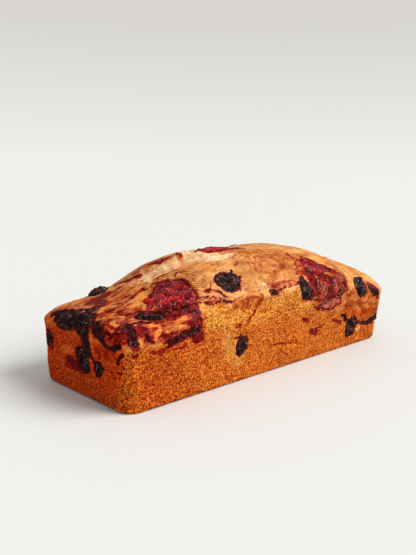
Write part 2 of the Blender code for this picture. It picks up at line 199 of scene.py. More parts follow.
# swirls of juice in the top skin, in millimetres: the eye, where the outermost loop ends
# along its long axis on either side of the eye, its half width, its turns and strength
SWIRLS = (
    ((-59.5, -29.0), (-69.0, 4.0), (-56.5, -39.0), 10.0, 4.2, 1.0),
    ((-9.0, -37.0), (16.0, -25.0), (-21.0, -42.0), 13.0, 3.0, 0.4),
    ((-34.0, 26.0), (-8.0, 30.0), (-46.0, 22.0), 9.0, 4.0, 0.5),
    ((74.0, 14.0), (96.0, 6.0), (62.0, 16.0), 10.0, 4.0, 0.4),
)
# how far behind the tear's lip the bare crumb reaches, along the loaf
TORN_STATIONS = ((-0.083, 0.005), (-0.070, 0.006), (-0.060, 0.008), (-0.050, 0.011),
                 (-0.044, 0.017), (-0.038, 0.022), (-0.032, 0.016), (-0.027, 0.007),
                 (-0.016, 0.0035), (-0.007, 0.002))


def smooth_through(x, stations):
    """Cubic curve through a few (place, value) stations, level beyond its ends."""
    place, value = np.array(stations).T
    slope = np.gradient(value, place)
    k = np.clip(np.searchsorted(place, x) - 1, 0, len(place) - 2)
    span = place[k + 1] - place[k]
    t = np.clip((x - place[k]) / span, 0.0, 1.0)
    return ((2 * t**3 - 3 * t**2 + 1) * value[k] + (t**3 - 2 * t**2 + t) * span * slope[k]
            + (3 * t**2 - 2 * t**3) * value[k + 1] + (t**3 - t**2) * span * slope[k + 1])


def smooth_step(t):
    """0 up to t = 0, 1 from t = 1, and an S between."""
    t = np.clip(t, 0.0, 1.0)
    return t * t * (3 - 2 * t)


def beside_path(u, v, path):
    """Distance of points from a flat path, positive on its left, and the share passed."""
    nearest = np.full(u.shape, np.inf)
    side = np.ones(u.shape)
    passed = np.zeros(u.shape)
    legs = len(path) - 1
    for leg, ((u0, v0), (u1, v1)) in enumerate(zip(path, path[1:])):
        du, dv = u1 - u0, v1 - v0
        t = np.clip(((u - u0) * du + (v - v0) * dv) / (du * du + dv * dv), 0, 1)
        gap = np.hypot(u - u0 - t * du, v - v0 - t * dv)
        closer = gap < nearest
        nearest = np.where(closer, gap, nearest)
        side = np.where(closer, np.sign(du * (v - v0) - dv * (u - u0)), side)
        passed = np.where(closer, (leg + t) / legs, passed)
    return nearest * side, passed


def fade_ends(passed, share=0.15):
    """1 along the middle of a path, falling to 0 at its two ends."""
    return smooth_step(passed / share) * smooth_step((1 - passed) / share)


def box_skin(cells):
    """Skin of a box cut into cells: its points as a, b, c in -1..1, its quads and its foot.

    Neighbouring faces share the points of their common edge.  The underside is one flat
    face, given as the ring of points round it.
    """
    shape = tuple(n + 1 for n in cells)
    lattice = np.arange(np.prod(shape)).reshape(shape)
    grids = (lattice[:, :, -1], lattice[:, 0, :], lattice[::-1, -1, :],
             lattice[0, ::-1, :], lattice[-1, :, :])
    quads = np.concatenate([
        np.stack((g[:-1, :-1], g[1:, :-1], g[1:, 1:], g[:-1, 1:]), -1).reshape(-1, 4)
        for g in grids])
    foot = np.concatenate((lattice[:-1, 0, 0], lattice[-1, :-1, 0],
                           lattice[:0:-1, -1, 0], lattice[0, :0:-1, 0]))[::-1]
    used, quads = np.unique(quads, return_inverse=True)
    where = np.stack(np.unravel_index(used, shape), -1) / np.array(cells) * 2 - 1
    return where, quads.reshape(-1, 4), np.searchsorted(used, foot)


def plan_point(a, b, inset, flare):
    """Point of a rounded rectangle for a, b in -1..1; flare is 0 at the foot, 1 at the rim."""
    left = FOOT_LEFT + flare * (-LENGTH / 2 - FOOT_LEFT) + inset
    left = left + FOOT_TUCK * (1 - flare) * (1 - b) / 2
    right = FOOT_RIGHT + flare * (LENGTH / 2 - FOOT_RIGHT) - inset
    half_width = (FOOT_WIDTH + flare * (WIDTH - FOOT_WIDTH)) / 2 - inset
    radius = CORNER_RADIUS - inset
    x = (left + right) / 2 + a * (right - left) / 2
    y = b * half_width
    dx = x - np.clip(x, left + radius, right - radius)
    dy = y - np.clip(y, -half_width + radius, half_width - radius)
    in_corner = (np.abs(dx) > 1e-9) & (np.abs(dy) > 1e-9)
    pull = np.maximum(np.abs(dx), np.abs(dy)) / np.maximum(np.hypot(dx, dy), 1e-9)
    pull = np.where(in_corner, pull, 1.0)
    return x - dx + dx * pull, y - dy + dy * pull


def edge_distance(x, y):
    """How far a point of the top lies inside the rim's rounded rectangle."""
    qx = np.abs(x) - (LENGTH / 2 - CORNER_RADIUS)
    qy = np.abs(y) - (WIDTH / 2 - CORNER_RADIUS)
    outside = np.hypot(np.maximum(qx, 0), np.maximum(qy, 0))
    return CORNER_RADIUS - outside - np.minimum(np.maximum(qx, qy), 0)


def dome_height(x, y):
    """Height of the domed top: from the rim up to the crest line, by a rounded profile."""
    rim = smooth_through(x, RIM_STATIONS) - RIM_RADIUS / 2
    rise = smooth_through(x, CREST_STATIONS) - rim
    across = np.clip(np.abs(y) / (WIDTH / 2), 0, 1)
    dome = (1 - across**DOME_POWER) ** DOME_ROUND
    inside = np.clip(edge_distance(x, y) / RIM_RADIUS, 0, 1)
    return rim + rise * dome * np.sqrt(1 - (1 - inside)**2)


def top_relief(x, y):
    """What the tear, its branch and the swirl add to the top's height."""
    behind, passed = beside_path(x, y, TEAR_LIP)
    slope = np.where(behind < TEAR_WIDTH,
                     -TEAR_DEPTH + (TEAR_DEPTH + TEAR_RISE) * behind / TEAR_WIDTH,
                     TEAR_RISE * np.exp(-(behind - TEAR_WIDTH) / TEAR_WIDTH))
    tear = np.where(behind > 0, slope, -TEAR_DEPTH * np.exp(behind / LIP_EDGE))
    tear += (LEDGE_RISE * smooth_step((x - LEDGE_AT) / LIP_EDGE)
             * smooth_step(behind / (2 * LIP_EDGE)) * np.exp(-(behind / LEDGE_REACH)**2)
             * smooth_step((LEDGE_AT + 2 * LEDGE_REACH - x) / LEDGE_REACH))
    away, down = beside_path(x, y, BRANCH)
    branch = -BRANCH_DEPTH * np.exp(-(away / BRANCH_WIDTH)**2)
    off_x = (x - SWIRL_CENTRE[0]) / SWIRL_RADII[0]
    off_y = (y - SWIRL_CENTRE[1]) / SWIRL_RADII[1]
    swirl = SWIRL_HEIGHT * smooth_step((SWIRL_END - np.hypot(off_x, off_y)) / SWIRL_FALL)
    return tear * fade_ends(passed) + branch * fade_ends(down, share=0.3) + swirl


def wall_relief(x, y, z):
    """How far the walls stand out: the fold on the left end and the seam on the front."""
    beside, passed = beside_path(y, z, FOLD)
    proud = FOLD_PROUD * smooth_step(1 + beside / FOLD_REACH)
    back = -FOLD_BACK * smooth_step(1 - beside / FOLD_REACH)
    fold = np.where(beside < 0, proud, back) * smooth_step((z - FOLD_FROM) / FOLD_OVER)
    fold = np.where(x < -LENGTH / 2 + FOLD_WALL, fold, 0)
    above, along = beside_path(x, z, SEAM)
    seam = -SEAM_DEPTH * np.exp(-(above / SEAM_WIDTH)**2)
    seam += (SEAM_PUFF * SEAM_DEPTH * smooth_step(above / SEAM_WIDTH)
             * np.exp(-(above / SEAM_PUFF_REACH)**2))
    seam = np.where(y < -WIDTH / 2 + SEAM_WALL, seam * fade_ends(along, share=0.1), 0)
    return fold + seam


def slow_bumps(x, y, z):
    """Unevenness of hand-filled batter: a few long waves that cross each other."""
    return UNEVEN * (np.sin(71 * x + 93 * z + 0.7) + np.sin(118 * y - 64 * x + 2.1)
                     + np.sin(157 * z + 88 * x - 1.3))


def crowd_to_edges(t, amount):
    """Moves grid lines in -1..1 closer to -1 and 1, where the dome is steep."""
    return t * (1 + amount * (1 - t * t))


def crust_points(where):
    """The loaf's skin: walls that flare from the rounded foot to the rim, and the top."""
    a = crowd_to_edges(where[:, 0], CROWD_ENDS)
    b = crowd_to_edges(where[:, 1], CROWD_SIDES)
    up = (where[:, 2] + 1) / 2
    on_top = up > 1 - 1e-9
    rim_x, rim_y = plan_point(a, b, 0.0, 1.0)
    dome = dome_height(rim_x, rim_y)
    z = up**CROWD_FOOT * dome
    near_foot = np.clip(1 - z / FOOT_RADIUS, 0, 1)
    inset = np.where(on_top, 0.0, FOOT_RADIUS * (1 - np.sqrt(1 - near_foot**2)))
    x, y = plan_point(a, b, inset, np.where(on_top, 1.0, z / np.maximum(dome, 1e-6)))
    x += (BACK_TUCK * smooth_step((BACK_TUCK_FROM - x) / BACK_TUCK_OVER)
          * smooth_step(z / BACK_TUCK_HEIGHT) * (1 + b) / 2)

    inside = smooth_step(edge_distance(rim_x, rim_y) / RIM_BLEND)
    z = z + np.where(on_top, top_relief(x, y), 0) * inside
    bumps = slow_bumps(x, y, z) * smooth_step(z / UNEVEN_FROM)
    out = wall_relief(x, y, z) * (1 - inside) + bumps
    out_x = np.clip(x, -LENGTH / 2 + CORNER_RADIUS, LENGTH / 2 - CORNER_RADIUS)
    out_y = np.clip(y, -WIDTH / 2 + CORNER_RADIUS, WIDTH / 2 - CORNER_RADIUS)
    away_x, away_y = x - out_x, y - out_y
    length = np.maximum(np.hypot(away_x, away_y), 1e-9)
    level = (1 - inside) * out / length
    return np.stack((x + away_x * level, y + away_y * level, z + inside * bumps), -1)


LATTICE_START = 1000.0  # moves the places that clouds are worked out for above zero
CORNER_COUNT = 8192     # random numbers that the corners of a cloud's lattice share
CORNER_KEYS = (73856093, 19349663, 83492791)


def corner_values(cell, seed, count=1):
    """Random numbers in 0..1 that belong to the corners of a lattice."""
    table = np.random.default_rng(seed).random((CORNER_COUNT, count))
    key = (cell[..., 0] * CORNER_KEYS[0] ^ cell[..., 1] * CORNER_KEYS[1]
           ^ cell[..., 2] * CORNER_KEYS[2])
    return table[key % CORNER_COUNT]


def cloud(points, size, seed):
    """Smooth random value in -1..1 that changes over about size: a blended lattice."""
    place = points / size + LATTICE_START
    cell = np.floor(place).astype(np.int64)
    part = place - cell
    part = part * part * (3 - 2 * part)
    total = np.zeros(len(points))
    for corner in np.ndindex(2, 2, 2):
        weight = np.prod(np.where(np.array(corner), part, 1 - part), axis=1)
        total += weight * corner_values(cell + np.array(corner), seed)[:, 0]
    return total * 2 - 1


def rough_cloud(points, size, seed):
    """Three clouds, each half as coarse and half as strong as the one before, brought back
    to about -1..1."""
    return (cloud(points, size, seed) + 0.5 * cloud(points, size / 2, seed + 1)
            + 0.25 * cloud(points, size / 4, seed + 2)) / 1.4


def nearest_seed(points, size, seed):
    """Distance to the nearest of randomly scattered seeds, in cell sizes, and its number."""
    place = points / size + LATTICE_START
    cell = np.floor(place).astype(np.int64)
    nearest = np.full(len(points), np.inf)
    number = np.zeros(len(points))
    for step in np.ndindex(3, 3, 3):
        neighbour = cell + np.array(step) - 1
        values = corner_values(neighbour, seed, 4)
        gap = np.linalg.norm(neighbour + values[:, :3] - place, axis=1)
        number = np.where(gap < nearest, values[:, 3], number)
        nearest = np.minimum(nearest, gap)
    return nearest, number


def ragged(points, amount, size, seed):
    """The points pushed about by a rough cloud, so that what is drawn on them has torn edges."""
    push = np.stack([rough_cloud(points, size, seed + 10 * axis) for axis in range(3)], -1)
    return points + amount * push


def seen_at(pixels):
    """Places on the crust that the camera sees at pixels (across, down) of its frame."""
    turn = camera.matrix_world.to_3x3()
    eye = camera.matrix_world.translation
    places = []
    for across, down in pixels:
        ray = Vector((across - FRAME_WIDTH / 2, FRAME_HEIGHT / 2 - down, 0)) * SENSOR / FRAME_HEIGHT
        ray = (turn @ (ray - Vector((0, 0, CAMERA_LENS)))).normalized()
        places.append(crust_surface.ray_cast(eye, ray)[0])
    return np.array(places)


STROKE_FADE = 0.66      # share of a stroke's radius over which it fades, half of it outside


def near_strokes(points, strokes):
    """1 within two thirds of a stroke's radius, a half at it, and 0 from a third beyond it.

    A stroke is its radius in millimetres, its strength, and the places it passes: pixels
    of the camera's frame on the sides it sees, points in millimetres on the others.
    """
    total = np.zeros(len(points))
    for radius, strength, *path in strokes:
        path = seen_at(path) if len(path[0]) == 2 else np.array(path, float) * MM
        nearest = np.linalg.norm(points - path[0], axis=1)
        for start, end in zip(path, path[1:]):
            leg = end - start
            t = np.clip((points - start) @ leg / (leg @ leg), 0, 1)
            nearest = np.minimum(nearest, np.linalg.norm(points - start - t[:, None] * leg, axis=1))
        share = (1 + STROKE_FADE / 2 - nearest / (radius * MM)) / STROKE_FADE
        total = np.maximum(total, strength * smooth_step(share))
    return total


# Blueberry juice that boiled out and dried: nearly black and crusty.  Two strokes along the
# fold on the left end also stand in for its shade: in its crease and under its lobe's edge.
INK = (
    (2.0, 1.0, (52, 314), (60, 312), (68, 312), (78, 311)),
    (1.6, 1.0, (78, 310), (86, 310), (90, 312)),
    (1.4, 1.0, (92, 314), (95, 315)),
    (3.6, 1.0, (62, 317), (74, 318), (86, 317)),
    (3.0, 1.0, (70, 325), (80, 327), (84, 326)),
    (1.6, 1.0, (80, 332), (85, 331)),
    (4.2, 1.0, (84, 334), (85, 343), (86, 351)),
    # Dark juice along the fold's crease, also standing in for the crease's shade: painted shade.
    (1.3, 1.0, (89, 352), (93, 360), (96, 368), (98, 373)),
    (0.9, 0.9, (99, 368), (104, 370)),
    (4.4, 0.8, (80, 353), (84, 359), (86, 366)),
    (1.2, 0.9, (48, 335), (48, 343)),
    (3.2, 1.0, (95, 325), (98, 331)),
    # Dark juice under the edge of the fold's lobe, also standing in for the shade there.
    (1.7, 0.9, (99, 334), (102, 341), (106, 346), (112, 348), (119, 347)),
    (1.4, 0.5, (104, 322), (100, 326)),
    (1.0, 0.6, (104, 334), (112, 334), (120, 333)),
    (3.0, 0.55, (129, 326), (132, 334), (133, 342)),
    (1.4, 0.7, (127, 325), (136, 323)),
    (1.2, 0.75, (130, 343), (137, 344)),
    (1.0, 0.8, (136, 332), (136, 340)),
    (1.0, 0.6, (133, 357), (137, 355)),
    (1.2, 0.75, (146, 335), (149, 342), (154, 342)),
    (1.3, 0.75, (122, 355), (118, 362)),
    (0.8, 0.6, (109, 372), (113, 372)),
    (0.9, 0.6, (118, 373), (122, 374)),
    (0.7, 0.6, (131, 363), (132, 367)),
    (0.6, 0.9, (123, 368), (124, 369)),
    (2.2, 1.0, (141, 315), (151, 317), (160, 316)),
    (1.0, 0.9, (139, 312), (150, 311), (160, 312)),
    (0.9, 0.8, (139, 322), (148, 323)),
    (1.0, 0.6, (160, 313), (170, 312), (176, 309)),
    (1.7, 0.6, (184, 306), (188, 311), (193, 312)),
    (2.0, 0.35, (194, 303), (199, 312), (201, 322)),
    (1.6, 0.5, (198, 325), (201, 333)),
    (2.2, 0.62, (170, 341), (180, 338), (190, 334), (199, 331)),
    (1.3, 0.45, (172, 333), (184, 332), (196, 328)),
    (1.2, 0.4, (168, 346), (180, 345)),
    (0.7, 0.75, (196, 298), (204, 297), (210, 296), (218, 298), (227, 301)),
    (0.9, 0.65, (197, 302), (206, 303), (214, 304), (224, 302), (232, 302)),
    (1.0, 0.6, (206, 304), (211, 305)),
    (0.8, 0.9, (221, 292), (224, 295)),
    (0.6, 0.8, (244, 299), (249, 300)),
    (0.6, 0.9, (258, 290), (260, 290)),
    (1.9, 0.85, (271, 292), (277, 293)),
    (0.9, 0.6, (272, 290), (279, 290), (288, 287), (298, 284)),
    (1.4, 0.35, (287, 254), (294, 261), (298, 270)),
    (1.2, 0.9, (298, 283), (302, 279)),
    (1.6, 1.0, (306, 290), (309, 298)),
    (1.0, 0.6, (310, 300), (318, 300)),
    (0.9, 0.45, (318, 303), (319, 306)),
    (1.2, 0.4, (314, 308), (322, 310)),
    (1.4, 0.3, (322, 309), (329, 306)),
    (1.4, 0.7, (325, 268), (330, 269)),
    (1.8, 0.45, (306, 262), (313, 268), (316, 274)),
    (2.4, 0.8, (311, 290), (312, 296)),
    (1.0, 0.6, (321, 280), (327, 285)),
    (1.0, 0.7, (346, 281), (346, 288), (342, 294)),
    (1.3, 0.85, (338, 291), (340, 298)),
    (0.8, 0.6, (328, 296), (336, 297)),
    (1.5, 0.9, (356, 278), (361, 278)),
    (2.6, 0.9, (370, 288), (376, 292)),
    (0.9, 0.6, (372, 293), (378, 298)),
    (1.3, 1.0, (341, 316), (344, 315), (346, 320)),
    (1.8, 1.0, (349, 323), (352, 331)),
    (1.6, 0.95, (356, 323), (366, 323), (371, 321)),
    (1.6, 0.95, (369, 321), (373, 318)),
    (0.9, 0.9, (236, 338), (241, 336)),
    (0.8, 0.9, (246, 337), (248, 342)),
    (1.4, 0.8, (240, 340), (245, 343)),
    (0.7, 0.8, (237, 351), (237, 354)),
    (0.8, 0.5, (201, 347), (201, 350)),
    (1.0, 1.0, (218, 280), (215, 277)),
    (1.0, 1.0, (223, 277), (221, 273)),
    (1.0, 1.0, (230, 275), (232, 271)),
    (1.0, 1.0, (236, 280), (241, 277)),
    (0.8, 0.8, (238, 287), (240, 290)),
    (1.0, 0.7, (-30, 44, 52), (-18, 44, 53), (-6, 44, 55), (6, 44, 52)),
    (1.2, 0.8, (123, 4, 33), (123, -4, 30), (122, -12, 22)),
)
# Juice and pulp of the strawberries: crimson, darker where it gathered.
WINE = (
    (4.5, 0.5, (108, 320), (122, 326), (140, 330)),
    (5.0, 0.45, (160, 334), (176, 338), (192, 330)),
    (4.0, 0.45, (92, 304), (108, 304), (128, 306)),
    (5.0, 1.0, (158, 301), (170, 297), (182, 296)),
    (2.4, 0.95, (150, 297), (150, 308)),
    (3.0, 1.0, (160, 311), (176, 309), (190, 304)),
    (2.6, 0.9, (184, 304), (190, 310), (196, 314)),
    (3.2, 0.95, (88, 304), (98, 300), (106, 296)),
    (2.0, 0.8, (100, 303), (104, 306)),
    (2.0, 0.85, (106, 296), (114, 291), (122, 286)),
    (1.4, 0.6, (112, 287), (120, 283)),
    (2.2, 1.0, (116, 284), (127, 281), (134, 277), (139, 276)),
    (1.6, 0.8, (133, 274), (138, 272)),
    (5.0, 0.40, (172, 322), (184, 320)),
    (2.4, 0.5, (104, 322), (106, 330)),
    (3.0, 0.9, (94, 299), (102, 297)),
    (0.9, 1.0, (107, 313), (118, 307), (128, 301), (137, 294), (143, 289)),
    (0.7, 0.7, (112, 304), (122, 299), (131, 294)),
    (0.7, 0.6, (100, 313), (110, 312), (120, 314)),
    (1.6, 0.65, (118, 312), (128, 308), (134, 304)),
    (2.2, 0.75, (122, 316), (132, 315), (140, 318)),
    (0.9, 0.9, (143, 289), (148, 289)),
    (0.9, 0.8, (153, 284), (162, 282), (174, 281)),
    (2.0, 0.8, (94, 322), (100, 322)),
    (4.6, 0.7, (104, 330), (112, 335), (120, 340)),
    (4.6, 0.95, (124, 327), (132, 330), (142, 331)),
    (3.6, 0.95, (130, 338), (136, 345)),
    (2.0, 0.6, (134, 352), (136, 358)),
    (1.6, 0.8, (146, 330), (148, 340)),
    (1.6, 0.8, (140, 324), (150, 323)),
    (2.0, 0.8, (160, 318), (170, 320), (178, 316)),
    (1.8, 0.8, (163, 333), (168, 340)),
    (2.6, 0.9, (170, 340), (182, 338), (196, 332)),
    (1.6, 0.6, (152, 353), (160, 352), (168, 348), (178, 348), (186, 345)),
    (4.8, 1.0, (190, 306), (195, 318), (197, 330), (198, 336)),
    (4.0, 1.0, (158, 314), (170, 313), (182, 311)),
    (2.4, 1.0, (198, 251), (206, 251), (218, 250), (228, 249), (238, 248)),
    (1.2, 0.9, (177, 254), (181, 256)),
    (1.1, 0.45, (233, 257), (237, 262), (235, 267)),
    (1.0, 0.8, (206, 290), (214, 290), (222, 293), (226, 297)),
    (2.4, 0.42, (270, 285), (282, 284), (296, 281)),
    (2.4, 0.38, (198, 300), (214, 301), (230, 301)),
    (3.6, 1.0, (309, 273), (312, 282), (313, 292)),
    (2.4, 1.0, (318, 268), (326, 270), (334, 271)),
    (4.6, 1.0, (92, 303), (100, 298), (107, 294)),
    (3.4, 1.0, (99, 305), (104, 301)),
    (2.4, 1.0, (138, 313), (150, 313), (164, 313)),
    (2.2, 1.0, (151, 264), (160, 262), (168, 258)),
    (1.0, 0.7, (301, 257), (306, 261)),
    (3.0, 1.0, (308, 262), (316, 265), (326, 268)),
    (2.0, 0.9, (310, 268), (314, 273), (318, 272)),
    (2.0, 0.95, (303, 273), (310, 275), (316, 279)),
    (2.4, 0.95, (314, 280), (317, 288), (316, 294)),
    (3.6, 1.0, (322, 276), (332, 281), (342, 280)),
    (3.8, 0.95, (322, 288), (332, 292), (340, 290)),
    (2.4, 0.75, (322, 298), (332, 298)),
    (2.0, 0.55, (320, 303), (330, 303), (339, 300)),
    (1.8, 0.6, (316, 308), (324, 308), (330, 306)),
    (3.0, 0.50, (298, 260), (300, 265), (301, 271), (300, 276)),
    (2.8, 0.9, (304, 266), (307, 271)),
    (1.4, 0.42, (288, 255), (293, 259), (296, 265), (297, 274)),
    (3.2, 1.0, (369, 285), (374, 288), (377, 292)),
    (1.6, 0.9, (333, 320), (341, 322)),
    (2.4, 1.0, (311, 331), (316, 333)),
    (0.9, 0.9, (310, 330), (317, 328), (324, 324)),
    (0.9, 0.75, (265, 309), (266, 312)),
    (1.0, 0.8, (237, 328), (241, 326)),
    (0.7, 0.5, (262, 297), (258, 306), (251, 318)),
    (0.6, 0.5, (276, 344), (286, 342)),
    (1.4, 0.8, (303, 319), (308, 321)),
    (3.4, 0.9, (68, 357), (74, 364), (82, 368)),
    (1.6, 0.6, (66, 364), (74, 368), (84, 370)),
    (2.0, 0.45, (118, 349), (104, 352)),
    (2.2, 0.5, (96, 350), (100, 356)),
    (6.0, 0.5, (-96, 40, 44), (-86, 42, 46), (-74, 40, 52)),
)
# Browned and juice-stained batter: darker and redder than the clean crust.  A few strokes are
# painted shade instead: in the tear's notch, hollow and ledge, and on the left end wall.
RUST = (
    (9.0, 0.75, (92, 300), (112, 296), (134, 288)),
    (8.0, 0.85, (100, 316), (122, 312), (146, 314)),
    (7.0, 0.55, (124, 332), (150, 332), (176, 330), (196, 322)),
    (15.0, 0.55, (252, 254), (284, 257)),
    (10.0, 0.36, (266, 268), (286, 268)),
    (6.0, 0.12, (272, 278), (286, 277)),
    (4.0, 1.0, (238, 304), (250, 302), (259, 301)),
    (6.0, 0.32, (206, 314), (250, 308), (300, 300)),
    (4.0, 0.55, (156, 280), (172, 277), (188, 286)),
    (9.0, 0.90, (350, 303), (358, 300), (372, 304)),
    (5.0, 0.4, (366, 330), (350, 312)),
    (3.0, 0.55, (54, 309), (66, 303), (80, 300)),
    (5.0, 1.0, (100, 330), (112, 334), (124, 338)),
    (4.0, 0.6, (100, 352), (112, 352)),
    (5.0, 0.35, (150, 328), (172, 330), (192, 326)),
    (4.5, 0.5, (98, 306), (118, 302), (140, 292)),
    # Painted shade in the notch by the tear's branch.
    (1.2, 0.8, (150, 284), (152, 288)),
    (0.7, 0.9, (153, 289), (155, 297)),
    # Painted shade in the hollow of the tear's branch.
    (1.2, 0.8, (137, 281), (143, 281)),
    # Partly painted shade: the darker upright face of the tear's ledge.
    (1.8, 1.0, (177, 254), (180, 258), (182, 262)),
    (2.4, 0.6, (142, 267), (150, 263), (160, 260)),
    (0.9, 0.7, (150, 278), (160, 274), (168, 270), (178, 267)),
    (1.6, 0.35, (168, 270), (182, 266), (196, 262), (208, 263)),
    (2.4, 0.5, (156, 278), (168, 274), (182, 272)),
    # Painted shade: darker patches on the left end wall.
    (5.0, 0.3, (62, 348), (74, 360), (86, 345)),
    (4.0, 0.4, (56, 326), (66, 336)),
    (5.0, 0.7, (330, 276), (342, 284), (334, 292)),
    (5.0, 0.6, (316, 302), (330, 308), (344, 300)),
    (0.8, 0.8, (229, 300), (234, 308), (240, 303), (249, 300)),
    (1.6, 0.45, (238, 306), (246, 303), (256, 299), (261, 297)),
    (1.3, 1.0, (262, 295), (259, 304), (252, 316), (246, 324)),
    (1.6, 0.6, (236, 326), (241, 324)),
    (1.0, 1.0, (270, 347), (276, 344), (284, 343), (298, 342)),
    (1.0, 0.8, (204, 316), (204, 340)),
    (1.3, 0.9, (126, 397), (130, 397)),
    (1.0, 0.8, (132, 384), (133, 386)),
    (1.2, 0.7, (122, 409), (132, 408)),
    (3.5, 0.4, (360, 300), (372, 306)),
    (4.0, 0.7, (361, 306), (362, 311)),
    (0.9, 0.6, (343, 269), (347, 273), (352, 278)),
    (1.0, 0.55, (352, 290), (356, 286)),
    (3.0, 0.3, (160, 376), (176, 384)),
    (0.5, 0.8, (211, 262), (213, 266), (216, 272)),
    (0.7, 0.5, (243, 253), (250, 254), (256, 260)),
    (0.9, 0.5, (257, 266), (262, 262), (272, 263), (278, 270), (279, 278)),
    (2.4, 0.35, (244, 253), (256, 251), (268, 256)),
)
# Bare crumb that never browned, where the crust split open beside the tear.
CRUMB = (
    (1.8, 1.0, (142, 275), (148, 281)),
    (1.4, 0.9, (148, 278), (150, 284)),
    (0.8, 0.9, (137, 285), (146, 286), (150, 285)),
    (1.2, 0.6, (214, 275), (219, 272)),
    (1.4, 0.3, (236, 266), (244, 272)),
    (0.9, 0.6, (241, 284), (242, 288)),
    (1.2, 0.45, (216, 284), (222, 289)),
    (2.4, 0.42, (257, 287), (264, 285)),
    (1.0, 0.9, (263, 284), (266, 286)),
    (1.2, 0.5, (228, 295), (238, 297)),
    (1.6, 0.6, (357, 329), (359, 327)),
    (0.8, 0.6, (366, 280), (371, 282)),
)
# Clean golden batter that juice left alone inside or beside a stain, and one painted
# highlight along the edge of the fold's proud lobe.
GOLD = (
    (2.4, 1.0, (56, 308), (66, 304), (80, 301)),
    (1.6, 0.8, (138, 268), (146, 264), (158, 259)),
    (1.2, 0.7, (104, 290), (116, 286)),
    (1.6, 0.6, (118, 284), (126, 286)),
    (1.6, 0.7, (350, 282), (353, 290)),
    (1.0, 0.7, (338, 286), (341, 288)),
    (0.8, 0.95, (97, 319), (104, 318), (112, 317), (124, 317)),
    # Painted highlight: a light line along the proud edge of the fold's lobe.
    (0.8, 0.85, (90, 322), (90, 334), (91, 345)),
    (2.6, 1.0, (63, 350), (72, 350)),
    (1.4, 0.85, (112, 323), (117, 326)),
    (1.2, 0.6, (107, 328), (112, 332)),
    (1.2, 0.7, (119, 352), (124, 354)),
    (1.4, 0.85, (152, 326), (158, 326)),
    (1.3, 0.9, (160, 330), (157, 335), (155, 340)),
    (1.0, 0.8, (141, 341), (141, 346)),
    (1.6, 0.6, (176, 322), (184, 318), (190, 317)),
    (1.6, 0.9, (150, 279), (160, 275), (170, 271), (182, 268), (200, 266), (212, 267)),
    (1.4, 0.9, (100, 312), (106, 307), (114, 303)),
    (1.4, 0.8, (108, 300), (118, 296), (128, 289)),
    (1.6, 0.9, (120, 289), (128, 285), (134, 282)),
    (2.2, 0.95, (131, 307), (138, 303), (146, 297)),
    (1.0, 0.9, (137, 297), (144, 292), (150, 289)),
    (1.0, 0.8, (156, 290), (163, 286), (170, 283)),
    (6.0, 0.6, (229, 342), (232, 352), (238, 358)),
    (3.0, 0.2, (322, 259), (332, 264)),
    (3.0, 0.25, (346, 268), (356, 272), (366, 276)),
    (2.6, 0.6, (207, 310), (214, 312), (218, 318)),
)
# Flakes of skin that curl up at the crest, and crumbs that stick out beside the tear.
FLAKES = (
    (0.9, 1.0, (323, 259), (327, 259)),
    (0.9, 0.8, (301, 250), (306, 251)),
    (1.0, 0.8, (199, 251), (205, 251)),
    (0.9, 0.7, (181, 253), (183, 255)),
    (0.8, 0.6, (377, 291), (378, 297)),
    (0.9, 0.9, (-30, 30, 72), (-26, 31, 71)),
    (0.9, 0.8, (60, 20, 68), (64, 22, 66)),
)
# Height up to which the crust lay against the tin and is porous, along the front.
PORE_STATIONS = ((-0.123, 0.038), (-0.100, 0.0385), (-0.088, 0.039), (-0.074, 0.0405),
                 (-0.066, 0.0520), (-0.045, 0.0498), (-0.018, 0.0495), (0.016, 0.052), (0.027, 0.047),
                 (0.036, 0.037), (0.060, 0.031), (0.085, 0.028), (0.123, 0.026))


FLOW_SPACING = 0.0036   # between two flow lines of the stirred batter
FLOW_SLANT = 0.25       # how far across the loaf they drift on their way along it
FLOW_HANG = 0.6         # how much of the dome's fall counts as distance across
CREST_WIDTH = 0.012     # to either side of the middle, where the dome hasn't begun to fall
CREST_HEIGHT = 0.070


def batter_flow(points):
    """Which flow line of the stirred batter a point lies on, counted from line to line: its
    distance across the loaf, bent by slow clouds."""
    x, y, z = points.T
    over_rim = y - np.tanh(y / CREST_WIDTH) * FLOW_HANG * (z - CREST_HEIGHT)
    return ((over_rim - FLOW_SLANT * x) / FLOW_SPACING + 1.6 * cloud(points, 0.022, 61)
            + 0.6 * cloud(points, 0.009, 62))


TOP_FROM = 0.045        # height above which the marks of the top lie
LOOP_END = 1.15         # share of a swirl's reach at which its loops are gone
LOOP_FADE = 0.3         # and the share over which they go


def swirled(points):
    """Loops that stretch away from the eye of each swirl: their count and how they show.

    A loop of size d is an ellipse whose middle lies d times the shift from the eye, so d
    solves (along + shift d)^2 + across^2 = d^2.  One turn round the eye adds one loop.
    """
    loops = np.zeros(len(points))
    shown = np.zeros(len(points))
    for eye, far, near, half_width, turns, strength in SWIRLS:
        away = points[:, :2] - np.array(eye) * MM
        reach_far, reach_near = (np.hypot(*(np.array(end) - eye)) * MM for end in (far, near))
        axis = (np.array(far) - near) / np.hypot(*(np.array(far) - near))
        middle = (reach_far + reach_near) / 2
        shift = (reach_near - reach_far) / (reach_far + reach_near)
        along = away @ axis / middle
        across = away @ np.array((-axis[1], axis[0])) / (half_width * MM)
        size = (shift * along + np.sqrt(along**2 + (1 - shift**2) * across**2)) / (1 - shift**2)
        show = strength * smooth_step((LOOP_END - size) / LOOP_FADE) * (points[:, 2] > TOP_FROM)
        here = turns * size + np.arctan2(across, along) / (2 * np.pi)
        loops = np.where(show > shown, here, loops)
        shown = np.maximum(shown, show)
    return loops, shown


def add_attribute(mesh, name, values):
    """Stores one number for each point of a mesh under a name that its material reads."""
    mesh.attributes.new(name, "FLOAT", "POINT").data.foreach_set("value", values.astype(np.float32))


